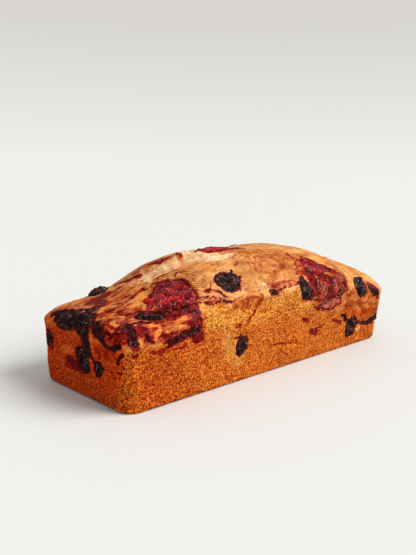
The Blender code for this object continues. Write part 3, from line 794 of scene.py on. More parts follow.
def add_surface(name, points, faces):
    """Smooth-shaded object with its place in its mesh."""
    mesh = bpy.data.meshes.new(name)
    mesh.from_pydata(points.tolist(), [], faces)
    mesh.shade_smooth()
    thing = bpy.data.objects.new(name, mesh)
    bpy.context.scene.collection.objects.link(thing)
    return thing


where, quads, foot = box_skin(CRUST_CELLS)
crust_faces = [*quads.tolist(), foot.tolist()]
base_points = crust_points(where)
crust_surface = BVHTree.FromPolygons(base_points.tolist(), crust_faces)
crust = add_surface("cake_crust", base_points, crust_faces)
normals = np.zeros(base_points.size, np.float32)
crust.data.vertex_normals.foreach_get("vector", normals)
normals = normals.reshape(-1, 3).astype(float)

# Fruit: where on the crust it lies, its half sizes sideways, up the crust and inwards, and
# how far it stands out, all in millimetres.
BLUEBERRIES = (
    ("blueberry_top_front", (-41.2, -36.2, 63.0), (8.6, 6.8, 4.8), 0.6),
    ("blueberry_shoulder", (22.8, -45.1, 51.9), (5.0, 7.0, 4.2), 1.0),
    ("blueberry_right_rim", (91.2, -42.7, 44.7), (6.8, 6.8, 4.6), 1.0),
    ("blueberry_front_wall", (-34.7, -43.0, 23.0), (4.6, 5.8, 4.5), 0.4),
    ("blueberry_low_right", (81.2, -43.0, 16.0), (5.6, 6.4, 4.5), 0.9),
    ("blueberry_right_corner", (119.0, -40.5, 17.0), (4.2, 3.7, 3.6), 1.8),
    ("blueberry_ridge", (-87.0, 33.0, 50.0), (7.8, 6.2, 4.0), 3.4),
    ("blueberry_end_big", (-120.9, -3.8, 43.2), (6.4, 6.4, 4.4), 1.2),
    ("blueberry_end_left", (-121.5, 16.0, 42.0), (10.0, 5.4, 4.0), 0.8),
    ("blueberry_end_top", (-111.6, 0.8, 49.3), (3.4, 3.6, 3.2), 1.0),
    ("blueberry_end_low", (-121.4, -2.9, 22.8), (5.8, 6.2, 4.0), 0.7),
    ("blueberry_end_small", (-123.5, -22.0, 22.3), (2.9, 3.6, 2.8), 0.5),
    ("blueberry_end_back", (-122.8, 33.0, 27.0), (2.6, 3.6, 3.0), 0.8),
    ("blueberry_front_flat", (-95.7, -31.3, 48.6), (7.8, 3.8, 3.4), 0.8),
    ("blueberry_back_top", (-50.0, 42.5, 51.0), (6.2, 5.6, 4.6), 1.0),
    ("blueberry_back_rim", (-18.0, 43.0, 54.0), (6.2, 5.4, 4.4), 1.4),
    ("blueberry_back_right", (76.0, 30.0, 58.0), (6.0, 6.4, 4.8), 1.6),
    ("blueberry_back_wall", (-84.0, 44.0, 25.0), (5.4, 5.8, 4.4), 0.7),
    ("blueberry_back_low", (42.0, 44.0, 28.0), (4.6, 5.8, 4.2), 0.6),
    ("blueberry_right_end", (123.0, 6.0, 34.0), (6.4, 5.8, 4.4), 0.9),
    ("blueberry_right_end_low", (122.0, -16.0, 19.0), (5.0, 4.6, 4.0), 0.7),
)
STRAWBERRIES = (
    ("strawberry_front", (-76.0, -23.5, 59.0), (12.8, 13.8, 5.0), 1.4),
    ("strawberry_shoulder_top", (38.8, -35.0, 64.0), (8.0, 7.2, 4.4), 1.2),
    ("strawberry_shoulder_mid", (42.5, -43.8, 49.2), (7.6, 6.2, 4.4), 1.2),
    ("strawberry_shoulder_right", (64.5, -42.2, 49.2), (9.0, 7.6, 4.4), 1.2),
    ("strawberry_shoulder_low", (52.2, -44.8, 37.2), (11.0, 4.0, 3.8), 0.9),
    ("strawberry_tear_left", (-55.4, 12.3, 70.3), (1.8, 6.0, 2.4), 0.5),
    ("strawberry_tear_right", (-21.5, -1.5, 76.0), (12.8, 4.2, 3.4), 1.2),
    ("strawberry_back", (22.0, 27.0, 70.0), (13.4, 10.0, 4.8), 1.4),
    ("strawberry_back_rim", (100.0, 42.0, 44.0), (9.2, 6.8, 4.4), 1.2),
    ("strawberry_right_end", (123.0, 27.0, 38.0), (8.4, 6.0, 4.4), 1.0),
)
FRUIT_SINK = 0.0006     # how far under the crust a fruit is widest
PHASE_STEP = 1.7        # radians by which a fruit's lobes are turned against the next one's
STEEP = 0.2             # slope from which a fruit's sideways axis is level; below it, it is X
SEAT_DEPTH = 0.012      # how far off its place along the outward axis a fruit still matters
FAR_OFF = 9.0           # stands for places that lie far outside it, in sizes of the fruit


def seat_on_crust(place):
    """Nearest point of the crust, and the axes sideways, up the crust and outwards."""
    spot, outwards, _, _ = crust_surface.find_nearest(Vector(place) * MM)
    sideways = Vector((0, 0, 1)).cross(outwards)
    sideways = sideways.normalized() if sideways.length > STEEP else Vector((1, 0, 0))
    uphill = outwards.cross(sideways).normalized()
    return np.array(spot), np.array((uphill.cross(outwards), uphill, outwards))


def blueberry_outline(turn, phase):
    """Share of its size that a baked blueberry reaches at each turn: three faint lobes."""
    return 1 + 0.03 * np.cos(3 * turn + phase)


def strawberry_outline(turn, phase):
    """Share of its size that a soft strawberry piece reaches at each turn: waves of two,
    three and five lobes on top of each other."""
    return (1 + 0.10 * np.cos(2 * turn + phase) + 0.08 * np.cos(3 * turn - 2 * phase)
            + 0.07 * np.cos(5 * turn + 3 * phase))


def outside_fruit(points, entry, outline, phase):
    """How far points of the crust lie outside a fruit's outline, less than 0 within it."""
    _, place, half_sizes, _ = entry
    spot, axes = seat_on_crust(place)
    side, up, out = ((points - spot) @ axes.T).T
    side, up = side / (half_sizes[0] * MM), up / (half_sizes[1] * MM)
    share = np.hypot(side, up) / outline(np.arctan2(up, side), phase)
    share = np.where(np.abs(out) < SEAT_DEPTH, share, FAR_OFF)
    return (share - 1) * (half_sizes[0] + half_sizes[1]) / 2 * MM


def ring_round(beyond, reach):
    """1 up to half a reach outside a fruit, a half at the reach, and 0 from one and a half."""
    return smooth_step(1.5 - beyond / reach)


SOAK_SIZE = 0.013       # over which juice that soaked out of a fruit is ragged


def soaked_round(beyond, reach, seed):
    """1 next to a fruit and 0 far from it, with ragged islands between: a cloud that gives way
    as the distance grows to a reach."""
    return smooth_step(0.6 + 1.3 * rough_cloud(base_points, SOAK_SIZE, seed) - beyond / reach)


def grows(value, start, over):
    """0 up to a start, 1 from as far beyond it as over says, and an S between."""
    return smooth_step((value - start) / over)


# How far and how finely the edges of all stains are torn.
EDGE_PUSH = 0.0008
EDGE_GRAIN = 0.0026
# The crumb that lies bare behind the tear's lip, and the golden lip in front of it.
TORN_FROM = 0.0008
TORN_UNEVEN = 0.0012
TORN_FADE = 0.0012
LIP_MIDDLE = 0.0012
LIP_WIDTH = 0.0016
LIP_GOLD = 0.8
# Clean batter keeps this share of red and brown juice off.
GOLD_WITHOUT_WINE = 0.85
GOLD_WITHOUT_RUST = 0.7
# Juice in a ring round each fruit: the stain, its strength and its reach.
BLUEBERRY_RINGS = (("ink", 1.0, 0.0007), ("wine", 0.5, 0.0016))
STRAWBERRY_RINGS = (("wine", 1.0, 0.0011), ("rust", 0.6, 0.0026))
# Juice soaked out of the fruit on the sides that the camera doesn't see, with its seed.
BLUEBERRY_SOAKS = (("ink", 0.9, 0.003, 600), ("wine", 0.8, 0.006, 700), ("rust", 0.7, 0.010, 750))
STRAWBERRY_SOAKS = (("wine", 0.9, 0.007, 500), ("rust", 0.7, 0.012, 550))
# The gap round each fruit, and the crust's raised collar outside it.
GROOVE_WIDTH = 0.0008
COLLAR_AT = 0.0018
COLLAR_WIDTH = 0.0012

along, across, height = base_points.T
torn = ragged(base_points, EDGE_PUSH, EDGE_GRAIN, 20)
ink = near_strokes(torn, INK)
behind, passed = beside_path(torn[:, 0], torn[:, 1], TEAR_LIP)
torn_off = smooth_through(along, TORN_STATIONS) + TORN_UNEVEN * cloud(base_points, 0.006, 21)
in_tear = smooth_step(behind / TORN_FROM) * smooth_step((torn_off - behind) / TORN_FADE + 0.5)
in_tear *= fade_ends(passed, share=0.06) * (torn[:, 2] > TOP_FROM)
crumb = np.maximum(near_strokes(torn, CRUMB), in_tear)
lip = np.exp(-((behind + LIP_MIDDLE) / LIP_WIDTH) ** 2) * fade_ends(passed, share=0.1)
gold = np.maximum(near_strokes(torn, GOLD), LIP_GOLD * lip * (torn[:, 2] > TOP_FROM))
stains = {"ink": ink, "wine": near_strokes(torn, WINE) * (1 - GOLD_WITHOUT_WINE * gold),
          "rust": near_strokes(torn, RUST) * (1 - GOLD_WITHOUT_RUST * gold)}
groove = np.zeros(len(torn))
collar = np.zeros(len(torn))
for entries, outline, rings, soaks in (
        (BLUEBERRIES, blueberry_outline, BLUEBERRY_RINGS, BLUEBERRY_SOAKS),
        (STRAWBERRIES, strawberry_outline, STRAWBERRY_RINGS, STRAWBERRY_SOAKS)):
    for number, entry in enumerate(entries):
        beyond = outside_fruit(torn, entry, outline, PHASE_STEP * number)
        groove = np.maximum(groove, np.exp(-(beyond / GROOVE_WIDTH) ** 2))
        collar = np.maximum(collar, np.exp(-((beyond - COLLAR_AT) / COLLAR_WIDTH) ** 2))
        for name, strength, reach in rings:
            if (entry[0], name) != ("blueberry_front_wall", "wine"):
                stains[name] = np.maximum(stains[name], strength * ring_round(beyond, reach))
        if "back" in entry[0] or "right_end" in entry[0]:
            for name, strength, reach, seed in soaks:
                soaked = soaked_round(beyond, reach, seed + 5 * number)
                stains[name] = np.maximum(stains[name], strength * soaked)
ink, wine, rust = stains["ink"], stains["wine"], stains["rust"]

# Where the camera no longer sees the crust: from a place, over a length, both ways.
UNSEEN_ALONG = (-0.115, 0.01)
UNSEEN_ACROSS = (-0.036, 0.02)
# The uneven line up to which the crust lay against the tin, more uneven where it isn't seen.
TIN_UNEVEN = 0.0018
TIN_UNEVEN_UNSEEN = 0.006
TIN_FADE = 0.0022
# The walls are lighter from this height, over this length, with slow waves.
LIGHT_FROM = 0.030
LIGHT_OVER = 0.014
LIGHT_UNEVEN = 0.004
# The ends are browned, the right one less.  So is the back, in two steps: by a strength,
# from a place, over a length.
END_BROWNED_FROM = 0.006
END_BROWNED_OVER = 0.004
RIGHT_END_BROWNED = 0.2
BACK_BROWNED = ((0.20, 0.014, 0.020), (0.35, 0.034, 0.008))
# The wall is coarse low on the upright corners.
COARSE_INSET = 0.004
COARSE_REACH = 0.013
COARSE_OVER = 0.007
COARSE_TOP = 0.036
COARSE_TOP_OVER = 0.01
# Thin juice over the left of the top, brown over the left wall and the far top, and darker
# patches along the foot.
STREAKS_FROM = -0.070
STREAKS_OVER = 0.030
STREAKS_WINE = 0.49
STREAKS_LESS_UNSEEN = 0.35
LEFT_WALL_FROM = -0.050
LEFT_WALL_OVER = 0.05
LEFT_WALL_RUST = 0.5
FAR_TOP = (0.006, 0.02)
FAR_TOP_RUST = 0.45
FOOT_TOP = 0.0035
FOOT_OVER = 0.003
FOOT_DARKENING = 0.9
# Marbling by the flow lines: its least and its most strength, and where it ends.
MARBLE_LEAST = 0.10
MARBLE_MORE = 0.40
MARBLE_END = 0.022

unseen = grows(across, *UNSEEN_ACROSS) * grows(along, *UNSEEN_ALONG)
edge_of_tin = (smooth_through(along, PORE_STATIONS) + TIN_UNEVEN * rough_cloud(base_points, 0.008, 30)
               + unseen * (TIN_UNEVEN_UNSEEN * cloud(base_points, 0.024, 31)
                           + TIN_UNEVEN_UNSEEN / 2 * cloud(base_points, 0.010, 32)))
porous = smooth_step((edge_of_tin - height) / TIN_FADE)
upper = smooth_step((height - LIGHT_FROM + LIGHT_UNEVEN * cloud(base_points, 0.016, 33)) / LIGHT_OVER)
browned = smooth_step((np.abs(along) - LENGTH / 2 + END_BROWNED_FROM) / END_BROWNED_OVER)
browned = np.where(along > 0, RIGHT_END_BROWNED, 1.0) * browned
for strength, start, over in BACK_BROWNED:
    browned = np.maximum(browned, strength * grows(across, start, over))
corner = np.hypot(np.abs(along) - LENGTH / 2 + COARSE_INSET,
                  np.abs(across) - WIDTH / 2 + COARSE_INSET)
coarse = (smooth_step((COARSE_REACH - corner) / COARSE_OVER)
          * smooth_step((COARSE_TOP - height) / COARSE_TOP_OVER))
flow = batter_flow(base_points)
loops, looped = swirled(base_points)
patches = smooth_step(0.5 + 0.9 * cloud(base_points, 0.018, 65))
streaky = smooth_step((STREAKS_FROM - along) / STREAKS_OVER)
marble = ((MARBLE_LEAST + MARBLE_MORE * patches) * (1 - streaky) * (1 - porous) * (1 - crumb)
          * (1 - looped) * smooth_step((LENGTH / 2 - np.abs(along)) / MARBLE_END))
looped = looped * (1 - crumb)
wine = np.maximum(wine, STREAKS_WINE * streaky * (1 - STREAKS_LESS_UNSEEN * unseen) * (1 - porous)
                  * (1 - browned) * (1 - gold) * (1 - crumb))
left_wall = smooth_step((LEFT_WALL_FROM - along) / LEFT_WALL_OVER) * porous
rust = np.maximum(rust, LEFT_WALL_RUST * left_wall * (1 - coarse) * (1 - browned))
far_top = grows(across, *FAR_TOP) * (1 - porous) * (1 - crumb)
far_top *= smooth_step(0.5 + rough_cloud(base_points, 0.028, 69))
rust = np.maximum(rust, FAR_TOP_RUST * far_top)
# Darker in patches along the foot, where the loaf meets the floor.
foot_dark = (smooth_step((FOOT_TOP - height) / FOOT_OVER)
             * smooth_step(cloud(base_points, 0.005, 68) * 2))
rust = np.maximum(rust, FOOT_DARKENING * foot_dark)

# Relief: how deep or high each mark stands, and the flat strip above the foot.  A pit's
# radius and edge are shares of the spacing.
PIT_SPACING = 0.0034
PIT_RADIUS = 0.34
PIT_EDGE = 0.2
PIT_DEPTH = 0.00045
SKIN_GRAIN = 0.00010
WALL_GRAIN = 0.00014
WALL_FINE_GRAIN = 0.00010
FLOW_RIDGE = 0.00012
LOOP_RIDGE = 0.00016
TOP_SWELL = 0.00035
GROOVE_DEPTH = 0.0006
COLLAR_HEIGHT = 0.0005
INK_CRUST = 0.0005
WINE_CRUST = 0.0004
CRAG_HEIGHT = 0.0006
FLAKE_HEIGHT = 0.0014
FLAT_STRIP = 0.002

pit_gap, pit_number = nearest_seed(base_points, PIT_SPACING, 50)
pits = smooth_step((PIT_RADIUS - pit_gap) / PIT_EDGE) * (pit_number > 0.5 - 0.4 * coarse)
grain = rough_cloud(base_points, 0.0030, 55)
crags = 1 - 2 * np.abs(cloud(base_points, 0.0042, 66)) + 0.6 * cloud(base_points, 0.0018, 67)
relief = (-PIT_DEPTH * pits * (0.3 + 0.7 * porous) * (1 + 0.5 * coarse)
          + (SKIN_GRAIN + WALL_GRAIN * porous) * grain
          + WALL_FINE_GRAIN * porous * cloud(base_points, 0.0014, 58)
          + FLOW_RIDGE * np.sin(2 * np.pi * flow) * marble
          + LOOP_RIDGE * np.sin(2 * np.pi * loops) * looped
          + TOP_SWELL * rough_cloud(base_points, 0.011, 59) * (1 - porous)
          - GROOVE_DEPTH * groove
          + COLLAR_HEIGHT * collar * (0.5 + 0.5 * cloud(base_points, 0.003, 60))
          + INK_CRUST * ink * rough_cloud(base_points, 0.0024, 62)
          + WINE_CRUST * wine * rough_cloud(base_points, 0.0026, 64)
          + CRAG_HEIGHT * crumb * crags + FLAKE_HEIGHT * near_strokes(base_points, FLAKES))
crust_skin = base_points + normals * (relief * smooth_step(height / FLAT_STRIP))[:, None]
crust_skin[:, 2] = np.maximum(crust_skin[:, 2], 0.0)
crust.data.vertices.foreach_set("co", crust_skin.ravel())
crust.data.update()
for name, values in (("ink", ink), ("wine", wine), ("rust", rust), ("crumb", crumb), ("gold", gold),
                     ("porous", porous), ("upper", upper), ("browned", browned), ("coarse", coarse),
                     ("flow", flow), ("marble", marble), ("loops", loops), ("looped", looped),
                     ("pits", pits)):
    add_attribute(crust.data, name, values)


class Recipe:
    """Node material under construction: each method adds a node and returns its output."""

    def __init__(self, name):
        self.material = bpy.data.materials.new(name)
        self.material.use_nodes = True
        self.tree = self.material.node_tree
        self.shader = self.tree.nodes["Principled BSDF"]
        self.place = self.tree.nodes.new("ShaderNodeTexCoord").outputs["Object"]

    def join(self, socket, value):
        """Links an output to an input, or sets the input to a number or colour."""
        if isinstance(value, bpy.types.NodeSocket):
            self.tree.links.new(value, socket)
        elif isinstance(value, tuple):
            socket.default_value = (*value, 1.0)
        else:
            socket.default_value = value

    def stored(self, name):
        """The number that the mesh stores for each point under a name."""
        node = self.tree.nodes.new("ShaderNodeAttribute")
        node.attribute_name = name
        return node.outputs["Fac"]

    def noise(self, size, detail=2.0, rough=0.5, along=1.0):
        """Soft random value in 0..1 that changes over about size metres, or over along
        times that in the loaf's length."""
        place = self.place
        if along != 1.0:
            turn = self.tree.nodes.new("ShaderNodeMapping")
            turn.inputs["Scale"].default_value = (1 / along, 1, 1)
            self.join(turn.inputs["Vector"], place)
            place = turn.outputs["Vector"]
        node = self.tree.nodes.new("ShaderNodeTexNoise")
        self.join(node.inputs["Vector"], place)
        node.inputs["Scale"].default_value = 1 / size
        node.inputs["Detail"].default_value = detail
        node.inputs["Roughness"].default_value = rough
        return node.outputs["Fac"]

    def spots(self, size):
        """Distance from the nearest of many scattered spots, about size metres apart."""
        node = self.tree.nodes.new("ShaderNodeTexVoronoi")
        self.join(node.inputs["Vector"], self.place)
        node.inputs["Scale"].default_value = 1 / size
        return node.outputs["Distance"]

    def ramp(self, value, low, high, start=0.0, end=1.0):
        """A value stretched smoothly from low..high to start..end."""
        node = self.tree.nodes.new("ShaderNodeMapRange")
        node.interpolation_type = "SMOOTHSTEP"
        self.join(node.inputs["Value"], value)
        for name, number in zip(("From Min", "From Max", "To Min", "To Max"), (low, high, start, end)):
            node.inputs[name].default_value = number
        return node.outputs["Result"]

    def math(self, operation, first, second):
        """Two values put together by a math operation."""
        node = self.tree.nodes.new("ShaderNodeMath")
        node.operation = operation
        self.join(node.inputs[0], first)
        self.join(node.inputs[1], second)
        return node.outputs[0]

    def times(self, first, second):
        """Two values multiplied."""
        return self.math("MULTIPLY", first, second)

    def swing(self, value, amount):
        """A value in 0..1 turned into one that swings to both sides of 0, amount in all."""
        return self.times(self.math("SUBTRACT", value, 0.5), amount)

    def blend(self, share, first, second):
        """A colour between two colours."""
        node = self.tree.nodes.new("ShaderNodeMix")
        node.data_type = "RGBA"
        self.join(node.inputs["Factor"], share)
        self.join(node.inputs["A"], first)
        self.join(node.inputs["B"], second)
        return node.outputs["Result"]

    def soak(self, share, colour, juice):
        """A colour darkened by juice that soaked into it: the two multiplied."""
        output = self.blend(share, colour, juice)
        output.node.blend_type = "MULTIPLY"
        return output

    def wash(self, name, patch, fray, most):
        """How much thin juice soaked in where a stain is stored: patchy, with a frayed edge."""
        stored = self.math("POWER", self.stored(name), self.ramp(fray, 0.35, 0.65, 0.5, 2.6))
        return self.times(stored, self.ramp(patch, 0.42, 0.57, 0.40 * most, 1.4 * most))

    def stain(self, name, spread, patch, fray, most):
        """How much thick juice dried on where a stain is stored: the less is stored, the smaller
        the ragged spots that have any; within them it is thick and thin in patches."""
        ragged_by = self.math("ADD", spread, self.swing(fray, 0.5))
        dried = self.ramp(self.math("ADD", self.stored(name), ragged_by), 0.24, 0.98)
        return self.times(dried, self.ramp(patch, 0.40, 0.58, 0.72 * most, 1.3 * most))

    def tint(self, amount, colour, through):
        """A colour under juice: times the light that one unit of juice lets through, to the
        power of the amount."""
        node = self.tree.nodes.new("ShaderNodeVectorMath")
        node.operation = "POWER"
        node.inputs[0].default_value = through
        self.join(node.inputs[1], amount)
        return self.soak(1.0, colour, node.outputs["Vector"])

    def lines(self, name, show, jogged, thin, thick):
        """Lines where the wave of a stored count crests, jogged by noise: how they show."""
        jog = self.math("ADD", self.times(self.noise(0.007, 2.0), 2.6 * jogged),
                        self.times(self.noise(0.0020, 2.0), 0.6 * jogged))
        turn = self.times(self.math("ADD", self.stored(name), jog), 2 * np.pi)
        wave = self.math("ADD", self.math("SINE", turn, 0.0),
                         self.swing(self.noise(0.0034, 3.0), 3.0 * jogged))
        drawn = self.times(self.ramp(wave, thin, thick), self.stored(show))
        return self.times(drawn, self.ramp(self.noise(0.006, 2.0), 0.36, 0.62, 0.1, 1.3))

    def bump(self, value, depth, strength=1.0):
        """Fine relief of the given depth in metres."""
        node = self.tree.nodes.new("ShaderNodeBump")
        node.inputs["Distance"].default_value = depth
        node.inputs["Strength"].default_value = strength
        self.join(node.inputs["Height"], value)
        self.tree.links.new(node.outputs["Normal"], self.shader.inputs["Normal"])

    def finish(self, colour, roughness):
        """Sets the shader's colour and roughness and returns the material."""
        self.join(self.shader.inputs["Base Color"], colour)
        self.join(self.shader.inputs["Roughness"], roughness)
        return self.material


# Colours in linear light: of the walls, the skin on top and the bare crumb.
LOW_WALL_DARK, LOW_WALL_LIGHT = (0.27, 0.021, 0.002), (0.82, 0.245, 0.029)
HIGH_WALL_DARK, HIGH_WALL_LIGHT = (0.42, 0.074, 0.006), (1.0, 0.49, 0.088)
COARSE_WALL = (0.88, 0.195, 0.011)
GOLDEN_WALL = (0.86, 0.46, 0.10)
PORE_BROWN = (0.28, 0.010, 0.0)
PIT_BROWN = (0.22, 0.016, 0.002)
SKIN_LIGHT, SKIN_DARK = (0.72, 0.38, 0.128), (0.46, 0.165, 0.042)
GOLDEN_SKIN = (0.76, 0.26, 0.050)
CRUMB_LIGHT, CRUMB_DARK = (0.84, 0.56, 0.34), (0.62, 0.32, 0.13)
# Painted glints: pale specks of colour on wet juice that stand in for highlights.
PAINTED_GLINT = (0.36, 0.13, 0.13)
DRIED_INK = (0.010, 0.004, 0.005)
# What browning leaves of a colour: in fine specks, in slow patches, at the ends and the back.
SPECKLED = (0.74, 0.56, 0.46)
SLOWLY_BROWNED = (0.80, 0.68, 0.64)
DEEPLY_BROWNED = (1.0, 0.42, 0.21)
# What one unit of each juice lets through.
FLOW_JUICE = (0.55, 0.22, 0.26)
LOOP_JUICE = (0.40, 0.10, 0.14)
RUST_JUICE = (0.62, 0.27, 0.13)
WINE_JUICE = (0.44, 0.060, 0.14)
INK_JUICE = (0.10, 0.012, 0.07)
# Finish: fine relief in metres, gloss, and the light that gets into the crust.
SPONGE_DEPTH = 0.0007
CRUST_SPECULAR = 0.03
CRUST_ROUGHNESS = 0.65
WET_COAT = 0.06
WET_ROUGHNESS = 0.20
CRUST_TRANSLUCENCY = 0.08
CRUST_LIGHT_REACH = (0.002, 0.0008, 0.0004)


def baked_crust():
    """Golden brown cake crust: dark pores in the walls, marbled skin on top, juice stains."""
    mix = Recipe("baked_crust")
    tone = mix.noise(0.014, 3.0)
    patch = mix.noise(0.0038, 5.0, 0.68)
    fray = mix.noise(0.0013, 3.0, 0.65)
    streak = mix.math("ADD", mix.times(mix.noise(0.0017, 3.0, 0.6, along=6.0), 0.6),
                      mix.times(mix.noise(0.0030, 4.0, 0.65, along=2.5), 0.4))
    streak = mix.ramp(streak, 0.34, 0.66)
    sponge = mix.noise(0.0010, 4.0, 0.7)
    fine = mix.noise(0.0007, 2.0, 0.6)
    golden = mix.times(mix.stored("gold"), mix.ramp(patch, 0.30, 0.52, 0.35, 0.95))

    low_wall = mix.blend(mix.ramp(sponge, 0.40, 0.58), LOW_WALL_DARK, LOW_WALL_LIGHT)
    high_wall = mix.blend(mix.ramp(sponge, 0.38, 0.56), HIGH_WALL_DARK, HIGH_WALL_LIGHT)
    wall = mix.blend(mix.stored("upper"), low_wall, high_wall)
    coarse_spots = mix.times(mix.stored("coarse"), mix.ramp(sponge, 0.46, 0.60))
    wall = mix.blend(coarse_spots, wall, COARSE_WALL)
    wall = mix.blend(mix.times(golden, 0.7), wall, GOLDEN_WALL)
    uneven = mix.swing(fine, 0.8)
    pores = mix.times(mix.ramp(mix.math("ADD", mix.spots(0.0013), uneven), 0.34, 0.20),
                      mix.ramp(mix.noise(0.0034, 1.0), 0.36, 0.56))
    pores = mix.math("MAXIMUM", pores, mix.ramp(mix.noise(0.0011, 3.0, 0.7), 0.44, 0.39, 0.0, 0.8))
    wall = mix.blend(mix.times(pores, 0.92), wall, PORE_BROWN)
    wall = mix.blend(mix.times(mix.stored("pits"), 0.5), wall, PIT_BROWN)

    mottled = mix.ramp(mix.noise(0.0070, 5.0, 0.65, along=2.2), 0.38, 0.64)
    skin = mix.blend(mottled, SKIN_LIGHT, SKIN_DARK)
    skin = mix.blend(golden, skin, GOLDEN_SKIN)
    skin = mix.soak(mix.ramp(fine, 0.48, 0.68, 0.0, 0.7), skin, SPECKLED)
    skin = mix.tint(mix.lines("flow", "marble", 1.0, 0.2, 0.95), skin, FLOW_JUICE)
    skin = mix.tint(mix.lines("loops", "looped", 0.7, 0.25, 0.95), skin, LOOP_JUICE)
    colour = mix.blend(mix.stored("porous"), skin, wall)
    colour = mix.soak(mix.ramp(tone, 0.40, 0.70, 0.0, 0.6), colour, SLOWLY_BROWNED)
    colour = mix.soak(mix.stored("browned"), colour, DEEPLY_BROWNED)

    bare = mix.blend(mix.ramp(mix.noise(0.0026, 4.0, 0.65), 0.40, 0.62), CRUMB_LIGHT, CRUMB_DARK)
    colour = mix.blend(mix.ramp(mix.math("ADD", mix.stored("crumb"), uneven), 0.35, 0.65), colour, bare)
    colour = mix.tint(mix.wash("rust", patch, fray, 1.1), colour, RUST_JUICE)
    red = mix.stain("wine", mix.swing(streak, 0.6), patch, fray, 1.5)
    colour = mix.tint(red, colour, WINE_JUICE)
    black = mix.stain("ink", mix.swing(patch, 1.0), patch, fray, 1.4)
    colour = mix.tint(black, colour, INK_JUICE)
    colour = mix.blend(mix.ramp(black, 1.0, 1.6, 0.0, 0.8), colour, DRIED_INK)
    # Wet juice is shinier and is flecked with painted glints, pale specks that stand in for highlights;
    # both are fewer where the crust is browned, as on the shaded left end.
    wet = mix.ramp(mix.math("MAXIMUM", mix.stored("ink"), mix.stored("wine")), 0.45, 0.9)
    wet = mix.times(wet, mix.ramp(mix.stored("browned"), 0.0, 1.0, 1.0, 0.3))
    glint = mix.times(mix.ramp(mix.noise(0.0010, 2.0), 0.57, 0.66, 0.0, 0.5),
                      mix.ramp(mix.noise(0.0065, 3.0), 0.44, 0.58))
    colour = mix.blend(mix.times(wet, glint), colour, PAINTED_GLINT)
    sponge_relief = mix.times(sponge, mix.ramp(mix.stored("porous"), 0.0, 1.0, 0.55, 1.0))
    pore_relief = mix.times(pores, mix.stored("porous"))
    mix.bump(mix.math("SUBTRACT", sponge_relief, pore_relief), SPONGE_DEPTH)
    mix.shader.inputs["Specular IOR Level"].default_value = CRUST_SPECULAR
    mix.shader.inputs["Coat Roughness"].default_value = WET_ROUGHNESS
    mix.join(mix.shader.inputs["Coat Weight"], mix.times(wet, WET_COAT))
    mix.shader.inputs["Subsurface Weight"].default_value = CRUST_TRANSLUCENCY
    mix.shader.inputs["Subsurface Radius"].default_value = CRUST_LIGHT_REACH
    mix.shader.inputs["Subsurface Scale"].default_value = 1.0
    return mix.finish(colour, CRUST_ROUGHNESS)


crust.data.materials.append(baked_crust())
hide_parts("loaf")
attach(crust, "root")

# ---- Blueberries -----------------------------------------------------------------------
# Whole blueberries, shrunken and burst in the oven: a slack dark skin that wrinkles round
# the five-pointed crown, shiny with juice, with grey patches that are partly bloom and
# partly painted sheen.
BERRY_CELLS = (72, 44)  # round a berry, and from pole to pole
BELL_WIDTH = 0.0008     # over which the crust's height under a fruit is averaged
FAR_BELL_WIDTH = 0.004  # and where no point of the crust lies within that
BELL_REACH = 1.6        # how far round a fruit points are taken, in half sizes of the fruit
FACING = 0.05           # least share to which they have to face the way the fruit does


def ball_skin(cells):
    """Directions from a ball's middle to its skin, as polar angle and turn, and its faces."""
    around, down = cells
    polar = np.repeat(np.linspace(0, np.pi, down + 1)[1:-1], around)
    turn = np.tile(np.arange(around) * 2 * np.pi / around, down - 1)
    ring = np.arange(around)
    following = (ring + 1) % around
    faces = np.stack((np.zeros(around, int), 1 + ring, 1 + following), -1).tolist()
    for row in range(down - 2):
        top = 1 + row * around
        faces += np.stack((top + ring, top + around + ring, top + around + following,
                           top + following), -1).tolist()
    last = 1 + (down - 2) * around
    faces += np.stack((last + ring, np.full(around, last + around), last + following), -1).tolist()
    return np.append(np.insert(polar, 0, 0.0), np.pi), np.append(np.insert(turn, 0, 0.0), 0.0), faces


def crust_fall(spot, axes, aside, reach):
    """How far the crust lies below its tangent plane at a spot, at points aside from it.

    Each is the mean of the crust's points nearby, weighted by a bell over their distance.
    """
    near = np.linalg.norm(base_points - spot, axis=1) < reach
    near &= normals @ axes[2] > FACING
    side, up, out = ((base_points[near] - spot) @ axes.T).T
    gap = (aside[:, :1] - side) ** 2 + (aside[:, 1:2] - up) ** 2
    weight = np.exp(-gap / BELL_WIDTH**2) + 1e-12 * np.exp(-gap / FAR_BELL_WIDTH**2) + 1e-30
    return (weight @ out) / weight.sum(1)


def add_fruit(entry, cells, outline, phase, relief):
    """One fruit in the place of its solid.

    Its skin is an ellipsoid with a slumped outer half, widened at each turn by its outline
    and bent over the crust.  Relief moves the skin outwards, in metres.
    """
    node, place, (half_side, half_up, inwards), proud = entry
    spot, axes = seat_on_crust(place)
    polar, turn, faces = ball_skin(cells)
    ball = np.stack((np.sin(polar) * np.cos(turn), np.sin(polar) * np.sin(turn), np.cos(polar)), -1)
    thick = np.where(ball[:, 2] > 0, FRUIT_SINK / MM + proud, inwards)
    sizes = np.column_stack((np.full(len(ball), half_side), np.full(len(ball), half_up), thick)) * MM
    wider = 1 + (outline(turn, phase) - 1) * np.sin(polar) ** 2
    across = ball * sizes * wider[:, None]
    normal = ball / sizes
    normal /= np.linalg.norm(normal, axis=1)[:, None]
    skin = across + normal * relief(polar, turn, across)[:, None]
    skin[:, 2] += crust_fall(spot, axes, across, BELL_REACH * max(half_side, half_up) * MM)
    fruit = add_surface("cake_" + node, spot - FRUIT_SINK * axes[2] + skin @ axes, faces)
    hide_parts(node)
    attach(fruit, "root")
    return fruit


BERRY_BLACK = (0.006, 0.003, 0.003)
BERRY_PURPLE = (0.085, 0.026, 0.022)
